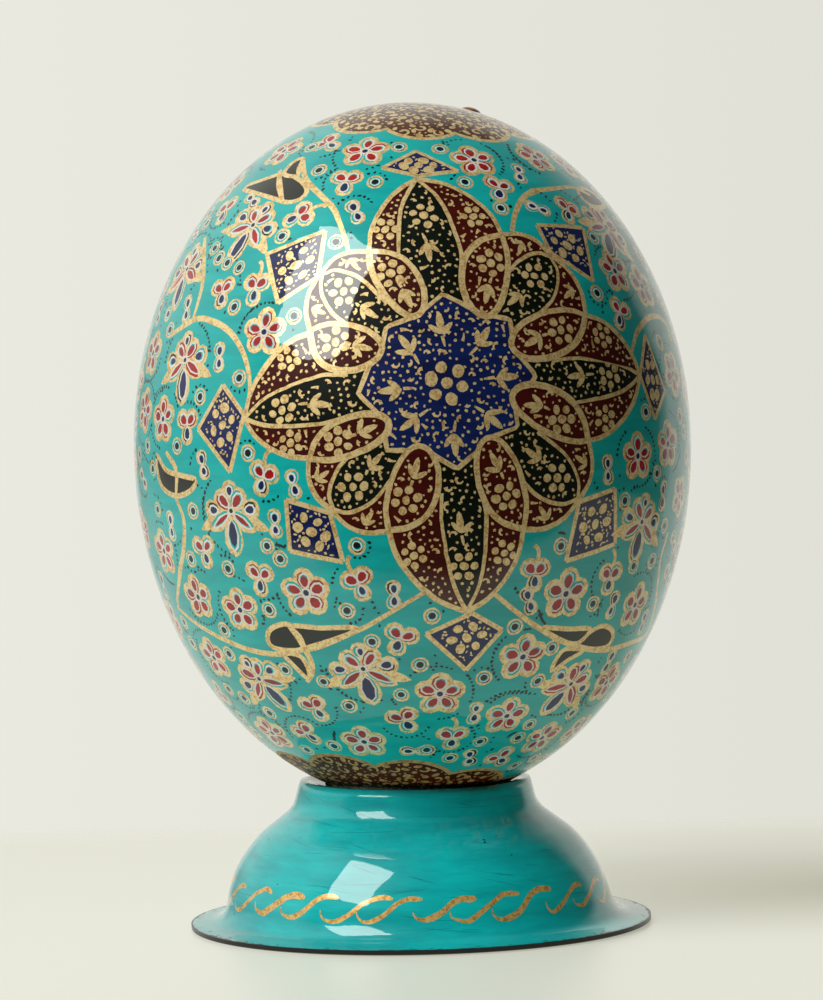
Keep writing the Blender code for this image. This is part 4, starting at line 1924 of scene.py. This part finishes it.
@dataclass
class PaintedEgg:
    """The egg: its painted face, cut along the ornament, closed at the foot where the stand hides it."""

    spacing: float = 4.2
    rim_sides: int = 96
    seed: int = 11
    ripple: float = 0.006
    inner_round: float = 3.2
    edge_round: float = 0.9
    disc: float = 0.205
    ripple_seed: int = 5
    ripple_waves: int = 26
    form: EggForm = field(init=False)
    cut: CutSkin = field(init=False)

    def build(self, camera: PhotoCamera) -> None:
        """Paints and cuts the egg's face.

        Args:
            camera: finds where the photograph's pixels lie on the egg.
        """
        form = EggForm.from_frame()
        skin = PaintedSkin(form, Paint.FOOT_BROWN, self.spacing, self.rim_sides)
        painter = EggPainter(form, skin, np.random.default_rng(self.seed))
        medallion = Medallion()
        medallion.place(painter, camera)
        caps = Caps(painter)
        blocked = [caps.paint()]
        vines = Vines(painter, camera)
        blocked.append(vines.paint())
        blocked.append(self.medallion_rounds(medallion))
        FlowerField(painter, camera).paint(np.concatenate(blocked))
        medallion.paint()
        self.form = form
        self.cut = skin.cut()
        log.info("egg: %d outlines, %d triangles", len(skin.outlines), len(self.cut.corners))

    def medallion_rounds(self, medallion: Medallion) -> np.ndarray:
        """Rows of place and radius that fill the medallion and its twin."""
        found = [(*medallion.patch.middle, medallion.reach * 0.62)]
        for edge in medallion.edges():
            for share in (1.0, 0.85, 0.7):
                reach = self.inner_round if share < 1 else self.edge_round
                found.extend((*point, reach) for point in medallion.patch.lay(edge * share))
        rows = np.array(found)
        return np.concatenate((rows, rows * (-1, -1, 1, 1)))

    def dress(self, materials: list[bpy.types.Material]) -> bpy.types.Object:
        """Makes the egg's mesh and hangs it on the frame."""
        points, normals = self.form.lift(self.cut.chart)
        normals = self.rippled(points, normals)
        ring = self.cut.rings[-1]
        foot = len(points)
        points = np.concatenate((points, [[0.0, 0.0, EGG_LOW.z / MM]]))
        normals = np.concatenate((normals, [[0.0, 0.0, -1.0]]))
        fan = [(after, here, foot) for here, after in zip(ring, ring[1:] + ring[:1])]
        faces = np.concatenate((self.cut.corners, fan))
        slots = np.concatenate((self.cut.slots, np.full(len(fan), list(Paint).index(Paint.FOOT_BROWN))))
        egg = build_piece("painted_egg", points, faces.tolist(), slots, normals[faces.ravel()], materials)
        self.bake_layout(egg, points, faces)
        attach(egg, BODY)
        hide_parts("egg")
        return egg

    def rippled(self, points: np.ndarray, normals: np.ndarray) -> np.ndarray:
        """Normals turned a little, as the lacquer's surface is never quite even."""
        waves = np.zeros_like(points)
        hand = np.random.default_rng(self.ripple_seed)
        for _ in range(self.ripple_waves):
            way = hand.normal(size=3) * (1.0, 1.0, 1.6)
            way *= TAU / hand.uniform(3.0, 20.0) / np.linalg.norm(way)
            waves += np.cos(points @ way + hand.uniform(0, TAU))[:, None] * way / np.linalg.norm(way)
        turned = normals + waves * self.ripple
        return turned / np.linalg.norm(turned, axis=1, keepdims=True)

    def bake_layout(self, egg: bpy.types.Object, points: np.ndarray, faces: np.ndarray) -> None:
        """Gives the egg a flat layout of two discs, its front and its back, each of even scale.

        Args:
            egg: the egg's object.
            points: its vertices in millimetres.
            faces: the vertex numbers of each triangle.
        """
        offset = points - (0.0, 0.0, self.form.waist)
        way = np.column_stack((offset[:, :2] / self.form.girth, offset[:, 2] / self.form.halves(points)))
        way /= np.linalg.norm(way, axis=1, keepdims=True)
        east, north, up = np.moveaxis(way[faces], 2, 0)
        back = north.sum(axis=1, keepdims=True) > 0
        ahead = np.where(back, 1.0, -1.0)
        scale = self.disc / np.sqrt(np.maximum(1 + north * ahead, 1e-3))
        tall = self.form.upper / self.form.girth
        across = np.where(back, 0.75, 0.25) - east * ahead * scale
        layout = np.stack([across, 0.5 + up * scale * tall], axis=-1)
        layer = egg.data.uv_layers.new(name="OFBake")
        layer.data.foreach_set("uv", layout.astype(np.float32).ravel())


@dataclass
class SpunStand:
    """The stand: one sheet of metal spun to a bell, painted outside and black at its edge and underneath."""

    sheet: float = 1.2
    seat_radius: float = 20.6
    seat_height: float = 32.0
    outer: tuple = (
        (24.9, 33.2), (26.5, 32.7), (27.0, 30.4), (28.2, 26.9), (31.7, 23.9), (36.1, 20.3), (40.3, 14.6),
        (42.7, 9.0), (43.9, 4.6), (46.4, 1.9), (52.2, 1.05),
    )
    flange_inner: float = 46.4
    sides: int = 160
    spacing: float = 1.9
    waves: int = 26
    lean: float = 0.9
    scratches: int = 190
    wave_height: float = 8.9
    stroke: tuple = (
        (-7.4, -0.6), (-7.2, -1.9), (-6.0, -2.7), (-3.8, -2.6), (-0.8, -1.0), (2.0, 1.1), (4.3, 2.3),
        (6.4, 2.5),
        (8.0, 2.1),
    )
    stroke_shares: tuple = (0.0, 0.12, 0.3, 0.5, 0.7, 0.9, 0.97, 1.0)
    stroke_widths: tuple = (0.25, 0.7, 1.5, 1.25, 1.3, 1.55, 1.2, 0.5)
    seed: int = 3
    edge_steps: int = 900
    flange_chips: int = 60
    bell_chips: int = 26
    form: TurnedForm = field(init=False)
    skin: PaintedSkin = field(init=False)
    hand: np.random.Generator = field(init=False)
    cut: CutSkin = field(init=False)

    def build(self) -> None:
        """Paints and cuts the outer face."""
        outer = np.array(self.outer)
        line = smooth_path(outer, 0.05)
        lip = even_steps(np.array([(self.seat_radius, self.seat_height), self.outer[0]]), 0.05)
        profile = np.concatenate((lip[:-1], line))
        self.form = TurnedForm(profile[:, 0], profile[:, 1])
        self.skin = PaintedSkin(self.form, Paint.STAND_BLACK, self.spacing, self.sides, open_middle=True)
        self.hand = np.random.default_rng(self.seed)
        self.ground()
        self.wave_band()
        self.cut = self.skin.cut()
        log.info("stand: %d outlines, %d triangles", len(self.skin.outlines), len(self.cut.corners))

    def ground(self) -> None:
        """Paints the turquoise ground, whose outer edge is chipped back from the flange's edge and leaves a
        black band: the flange's own black edge, widened as painted shade of the dark gap under the flange.
        """
        count = self.edge_steps
        bearings = np.arange(count) * TAU / count
        end = self.form.along[-1]
        chips = np.zeros(count)
        for waves, size in ((7, 0.22), (19, 0.2), (53, 0.16), (131, 0.14)):
            chips += size * np.sin(waves * bearings + self.hand.uniform(0, TAU))
        chips += self.hand.uniform(-0.12, 0.12, count)
        # The turquoise stops short of the edge, so the black band on top of the flange is partly its black
        # edge and partly painted shade for the gap beneath it.
        reach = end - 0.32 - np.clip(chips + 0.12, 0.0, 1.1)
        self.skin.cover(self.form.chart(bearings, reach), Paint.STAND_BLUE)
        for _ in range(self.flange_chips):
            size = self.hand.uniform(0.15, 0.4)
            place = np.array([self.hand.uniform(0, TAU), end - self.hand.uniform(1.0, 2.0)])
            self.spot(place, size, Paint.STAND_BLACK)
        for _ in range(self.bell_chips):
            place = np.array([self.hand.uniform(0, TAU), self.hand.uniform(7.0, end - 4.0)])
            self.spot(place, self.hand.uniform(0.12, 0.3), Paint.STAND_BLACK)
        for _ in range(self.scratches):
            length, slant = self.hand.uniform(3.0, 14.0), math.radians(self.hand.normal(-7, 7))
            line = np.linspace(-length / 2, length / 2, 5)[:, None] * (math.cos(slant), math.sin(slant))
            line[:, 1] += self.hand.uniform(-0.1, 0.1, 5)
            widths = self.hand.uniform(0.07, 0.24) * np.array([0.3, 0.9, 1.0, 0.8, 0.3])
            middle = self.hand.uniform(7.0, end - 2.0)
            radius = float(np.interp(middle, self.form.along, self.form.radius))
            self.ribbon(line, widths, self.hand.uniform(0, TAU), middle, radius, Paint.STAND_SCRATCH)

    def spot(self, place: np.ndarray, size: float, paint: Paint) -> None:
        """Paints a small spot at a bearing and a distance along the profile."""
        radius = np.interp(place[1], self.form.along, self.form.radius)
        flat = round_outline(size, 6, self.hand, 0.3) * (1.6, 1.0)
        self.skin.cover(self.form.chart(place[0] + flat[:, 0] / radius, place[1] + flat[:, 1]), paint)

    def wave_band(self) -> None:
        """Paints the band of gold S-strokes round the foot of the bell."""
        middle = float(np.interp(-self.wave_height, -self.form.height[200:], self.form.along[200:]))
        radius = float(np.interp(middle, self.form.along, self.form.radius))
        for wave in range(self.waves):
            hand = self.hand
            stations = np.array(self.stroke) * (hand.uniform(0.88, 1.1), hand.uniform(0.85, 1.1))
            stations = stations + hand.normal(0, 0.13, stations.shape)
            line = smooth_path(stations, 0.6)
            widths = np.interp(np.linspace(0, 1, len(line)), self.stroke_shares, self.stroke_widths)
            bearing = TAU * (wave + hand.uniform(-0.16, 0.16)) / self.waves
            self.ribbon(line, widths * hand.uniform(0.72, 1.12), bearing, middle, radius, Paint.STAND_GOLD)

    def ribbon(self, line: np.ndarray, widths: np.ndarray, bearing: float, middle: float, radius: float,
               paint: Paint) -> None:
        """Paints one stroke.

        Args:
            line: flat points, to the right and up.
            widths: one for each point.
            bearing: where its middle is, about Z.
            middle: distance of its middle along the profile.
            radius: the form's radius there.
            paint: what it is painted with.
        """
        along = np.gradient(line, axis=0)
        side = np.stack([-along[:, 1], along[:, 0]], axis=1)
        side /= np.linalg.norm(side, axis=1, keepdims=True)
        edges = []
        for sign in (0.5, -0.5):
            flat = line + side * widths[:, None] * sign
            edges.append(self.form.chart(bearing + flat[:, 0] / radius, middle - flat[:, 1]))
        for corners in quads(*edges):
            self.skin.cover(corners, paint)

    def closing_line(self) -> np.ndarray:
        """Profile points from the flange's edge round the hollow side, up to just under the lip."""
        outer = smooth_path(np.array(self.outer), 1.6)
        along = np.gradient(outer, axis=0)
        along /= np.linalg.norm(along, axis=1, keepdims=True)
        inner = outer + self.sheet * np.stack([along[:, 1], -along[:, 0]], axis=1)
        inner = inner[(inner[:, 1] > self.sheet) & (inner[:, 0] < self.flange_inner)]
        edge = self.outer[-1][0]
        slope = (self.outer[0][1] - self.seat_height) / (self.outer[0][0] - self.seat_radius)
        under = self.seat_height - self.sheet * math.sqrt(1 + slope**2)
        bottom = [(edge, 0.15), (edge - 0.25, 0.0), (self.flange_inner, 0.0)]
        return np.concatenate((bottom, inner[::-1], [(self.seat_radius, under)]))

    def dress(self, materials: list[bpy.types.Material]) -> bpy.types.Object:
        """Makes the stand's mesh and hangs it on the frame."""
        points, normals = self.form.lift(self.cut.chart)
        bearings = np.arange(self.sides) * TAU / self.sides
        side = polar(1.0, bearings)
        rings = [self.cut.rings[1]]
        closing = self.closing_line()
        for radius, height in closing:
            start = len(points)
            ring = np.column_stack((side * radius, np.full(self.sides, height)))
            points = np.concatenate((points, ring))
            rings.append(list(range(start, start + self.sides)))
        rings.append(self.cut.rings[0])
        profile = np.concatenate(([self.outer[-1]], closing, [(self.seat_radius, self.seat_height)]))
        faces = self.cut.corners.tolist()
        loops = [normals[self.cut.corners.ravel()]]
        for step, (here, after) in enumerate(zip(rings, rings[1:])):
            across, up = profile[step + 1] - profile[step]
            outward = np.array([-up, across]) / math.hypot(across, up)
            for n in range(self.sides):
                m = (n + 1) % self.sides
                faces.append([here[m], here[n], after[n], after[m]])
                loops.append(np.array([(*(side[k] * outward[0]), outward[1]) for k in (m, n, n, m)]))
        added = len(faces) - len(self.cut.corners)
        slots = np.concatenate((self.cut.slots, np.full(added, list(Paint).index(Paint.STAND_BLACK))))
        stand = build_piece("spun_stand", self.beaten(points), faces, slots, np.concatenate(loops), materials)
        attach(stand, BODY)
        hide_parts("stand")
        return stand

    def beaten(self, points: np.ndarray) -> np.ndarray:
        """Moves the sheet a little, as hand spinning leaves it: the bell leans and the flange rises.

        Args:
            points: points of the sheet.

        Returns:
            The moved points.
        """
        bearing = np.arctan2(points[:, 1], points[:, 0])
        radius = np.hypot(points[:, 0], points[:, 1])
        out = np.clip((radius - 40) / 12.2, 0, 1) ** 2
        lift = out * (0.2 + 0.2 * np.cos(bearing + 0.2) + 0.05 * np.sin(3 * bearing))
        height = points[:, 2]
        swell = 0.12 * np.sin(2 * bearing + height * 0.15) + 0.07 * np.sin(5 * bearing + height * 0.4)
        moved = points.copy()
        scale = 1 + swell * (1 - out) / np.maximum(radius, 1.0)
        moved[:, :2] *= scale[:, None]
        moved[:, 0] -= self.lean * (1 - np.exp(-points[:, 2] / 9.0))
        moved[:, 2] += np.maximum(lift, 0.0)
        return moved


@dataclass
class HolePlug:
    """The dab of filler in the egg's crown: a low uneven dome."""

    rings: int = 7
    sides: int = 28
    seed: int = 9
    rise: float = 1.15
    sunk: float = 0.25
    depth: float = 0.9

    def build(self, materials: list[bpy.types.Material]) -> bpy.types.Object:
        """Makes the plug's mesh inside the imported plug's box and hangs it on the frame."""
        low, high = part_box("hole_plug")
        form = EggForm.from_frame()
        middle = form.settle(np.array([[(low.x + high.x) / 2, (low.y + high.y) / 2, high.z]]) / MM)[0]
        patch = Patch.on(form, middle)
        normal = form.normals(middle[None])[0]
        radius = (high.x - low.x) / 2 / MM * 0.95
        hand = np.random.default_rng(self.seed)
        lumps = 1 + hand.uniform(-0.08, 0.08, self.sides)
        points = []
        for ring in range(self.rings):
            angle = math.pi / 2 * ring / self.rings
            for step in range(self.sides):
                bearing = TAU * step / self.sides
                reach = radius * math.cos(angle) * lumps[step]
                flat = middle + reach * (math.cos(bearing) * patch.east + math.sin(bearing) * patch.north)
                points.append(flat + normal * (self.rise * math.sin(angle) - self.sunk))
        base, top = len(points), len(points) + 1
        points.extend([middle - normal * self.depth, middle + normal * (self.rise - self.sunk)])
        faces = []
        for step in range(self.sides):
            after = (step + 1) % self.sides
            faces.append([after, step, base])
            for ring in range(self.rings - 1):
                row, above = ring * self.sides, (ring + 1) * self.sides
                faces.append([row + step, row + after, above + after, above + step])
            last = (self.rings - 1) * self.sides
            faces.append([last + step, last + after, top])
        data = bpy.data.meshes.new("filler_plug")
        data.from_pydata((np.array(points) * MM).tolist(), [], faces)
        data.materials.append(materials[list(Paint).index(Paint.FILLER)])
        data.shade_smooth()
        plug = in_scene("filler_plug", data)
        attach(plug, BODY)
        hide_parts("hole_plug")
        return plug


WALL = (0.825, 0.825, 0.745)
TABLE = (0.42, 0.425, 0.41)
TABLE_GLOW = (0.40, 0.40, 0.33)
# Share of the table's glow kept in its painted shadow band, darker and yellower, standing in for the egg's
# and stand's cast shadow.
TABLE_PAINTED_SHADOW = (0.66, 0.62, 0.50)


@dataclass
class Studio:
    """A pale table with soft edges and a painted shadow band, a pale wall seen behind it that is painted
    darker to the right as shade, and one window light from the upper left.
    """

    table_half: tuple[float, float] = (0.60, 0.197)
    window_way: tuple[float, float, float] = (-0.545, -0.514, 0.661)
    window_distance: float = 1.2
    window_size: tuple[float, float] = (0.60, 0.74)
    window_power: float = 12.4
    room_colours: tuple = ((0.008, 0.008, 0.007, 1), (0.78, 0.77, 0.70, 1))
    fill_colours: tuple = ((0.010, 0.010, 0.009, 1), (0.29, 0.29, 0.265, 1))
    ceiling: tuple[float, float, float, float] = (0.2, 0.2, 0.185, 1)

    def build(self) -> None:
        """Makes the table, the light and the world."""
        self.table()
        self.window()
        self.world()

    def table(self) -> None:
        """Makes the table top, which glows a little of itself, carries a painted shadow band to the right of
        the stand, and fades into the wall's colour at its edges.
        """
        half_x, half_y = self.table_half
        data = bpy.data.meshes.new("table_top")
        corners = [(-half_x, -half_y, 0), (half_x, -half_y, 0), (half_x, half_y, 0), (-half_x, half_y, 0)]
        data.from_pydata(corners, [], [(0, 1, 2, 3)])
        material = bpy.data.materials.new("pale_table")
        material.use_nodes = True
        tree = material.node_tree
        shader = tree.nodes["Principled BSDF"]
        place = object_place(tree)
        mottle = noise_node(tree, place, 9.0, 4.0)
        colour = mix_node(tree, mottle, shaded(TABLE), shaded(TABLE, 0.97))
        tree.links.new(colour, shader.inputs["Base Color"])
        shader.inputs["Roughness"].default_value = 0.35
        shader.inputs["Specular IOR Level"].default_value = 0.4
        shader.inputs["Emission Strength"].default_value = 1.0
        # Painted shadow: a soft band right of the stand and a little behind it, where the table's glow is
        # darkened to stand in for the cast shadow of the egg and stand.
        split = tree.nodes.new("ShaderNodeSeparateXYZ")
        tree.links.new(place, split.inputs[0])
        painted_shadow = range_node(tree, split.outputs["X"], 0.02, 0.11)
        painted_shadow = math_node(tree, "MULTIPLY", painted_shadow, range_node(tree, split.outputs["Y"], -0.035, 0.035))
        painted_shadow = math_node(tree, "MULTIPLY", painted_shadow,
                          range_node(tree, split.outputs["Y"], 0.055, 0.12, 1.0, 0.0))
        # The glow's colour inside the painted shadow band.
        dark = tuple(glow * part for glow, part in zip(TABLE_GLOW, TABLE_PAINTED_SHADOW))
        glow = mix_node(tree, painted_shadow, shaded(TABLE_GLOW), shaded(dark))
        tree.links.new(glow, shader.inputs["Emission Color"])
        depth = math_node(tree, "ABSOLUTE", split.outputs["Y"])
        width = math_node(tree, "ABSOLUTE", split.outputs["X"])
        fade = range_node(tree, depth, half_y - 0.04, half_y, 1.0, 0.0)
        fade = math_node(tree, "MULTIPLY", fade, range_node(tree, width, half_x - 0.1, half_x, 1.0, 0.0))
        tree.links.new(fade, shader.inputs["Alpha"])
        data.materials.append(material)
        table = in_scene("table_top", data)

    def window(self) -> None:
        """Makes the window light."""
        data = bpy.data.lights.new("window", "AREA")
        data.shape = "RECTANGLE"
        data.size, data.size_y = self.window_size
        data.energy = self.window_power
        data.color = (1.0, 0.985, 0.95)
        light = in_scene("window", data)
        way = Vector(self.window_way).normalized()
        middle = Vector((0.0, 0.0, 0.12))
        light.location = middle + way * self.window_distance
        light.rotation_mode = "QUATERNION"
        light.rotation_quaternion = way.to_track_quat("Z", "Y")

    def world(self) -> None:
        """Makes the wall's colour for the camera, painted darker to the right as shade, a part-dark room for
        reflections and an even soft fill.
        """
        world = bpy.data.worlds.new("studio")
        bpy.context.scene.world = world
        world.use_nodes = True
        tree = world.node_tree
        tree.nodes.clear()
        out = tree.nodes.new("ShaderNodeOutputWorld")
        place = tree.nodes.new("ShaderNodeTexCoord")
        split = tree.nodes.new("ShaderNodeSeparateXYZ")
        tree.links.new(place.outputs["Generated"], split.inputs[0])
        across = split.outputs["X"]
        slant = math_node(tree, "MAXIMUM", math_node(tree, "MULTIPLY", across, 0.333),
                          math_node(tree, "MULTIPLY", across, 0.75))
        lean = math_node(tree, "SUBTRACT", split.outputs["Y"], slant)
        bright = range_node(tree, lean, -0.08, 0.14)
        climb = math_node(tree, "MULTIPLY_ADD", across, 0.4, split.outputs["Z"])
        bright = math_node(tree, "MULTIPLY", bright, range_node(tree, climb, 0.62, 0.86, 1.0, 0.15))
        level = range_node(tree, math_node(tree, "ABSOLUTE", split.outputs["Z"]), 0.05, 0.22, 0.45, 1.0)
        level = math_node(tree, "MAXIMUM", level, range_node(tree, across, -0.55, -0.3))
        seen = math_node(tree, "MULTIPLY", bright, level)
        room = mix_node(tree, seen, *self.room_colours)
        fill = mix_node(tree, bright, *self.fill_colours)
        fill = mix_node(tree, range_node(tree, split.outputs["Z"], 0.55, 0.9), fill, self.ceiling)
        # The wall is painted a tenth darker to the right, as painted shade away from the window.
        wall = mix_node(tree, range_node(tree, across, -0.12, 0.12), shaded(WALL), shaded(WALL, 0.9))
        rays = tree.nodes.new("ShaderNodeLightPath")
        colour = mix_node(tree, rays.outputs["Is Glossy Ray"], fill, room)
        colour = mix_node(tree, rays.outputs["Is Camera Ray"], colour, wall)
        glow = tree.nodes.new("ShaderNodeBackground")
        tree.links.new(colour, glow.inputs["Color"])
        tree.links.new(glow.outputs[0], out.inputs["Surface"])


def main() -> None:
    """Builds the camera, the pieces and the studio in order."""
    logging.basicConfig(level=logging.INFO, format="%(message)s")
    bpy.context.scene.view_settings.view_transform = "Standard"
    camera = PhotoCamera()
    camera.build()
    materials = build_finishes()
    egg = PaintedEgg()
    egg.build(camera)
    log.info("made %s", egg.dress(materials).name)
    stand = SpunStand()
    stand.build()
    log.info("made %s", stand.dress(materials).name)
    log.info("made %s", HolePlug().build(materials).name)
    Studio().build()


if __name__ == "__main__":
    main()
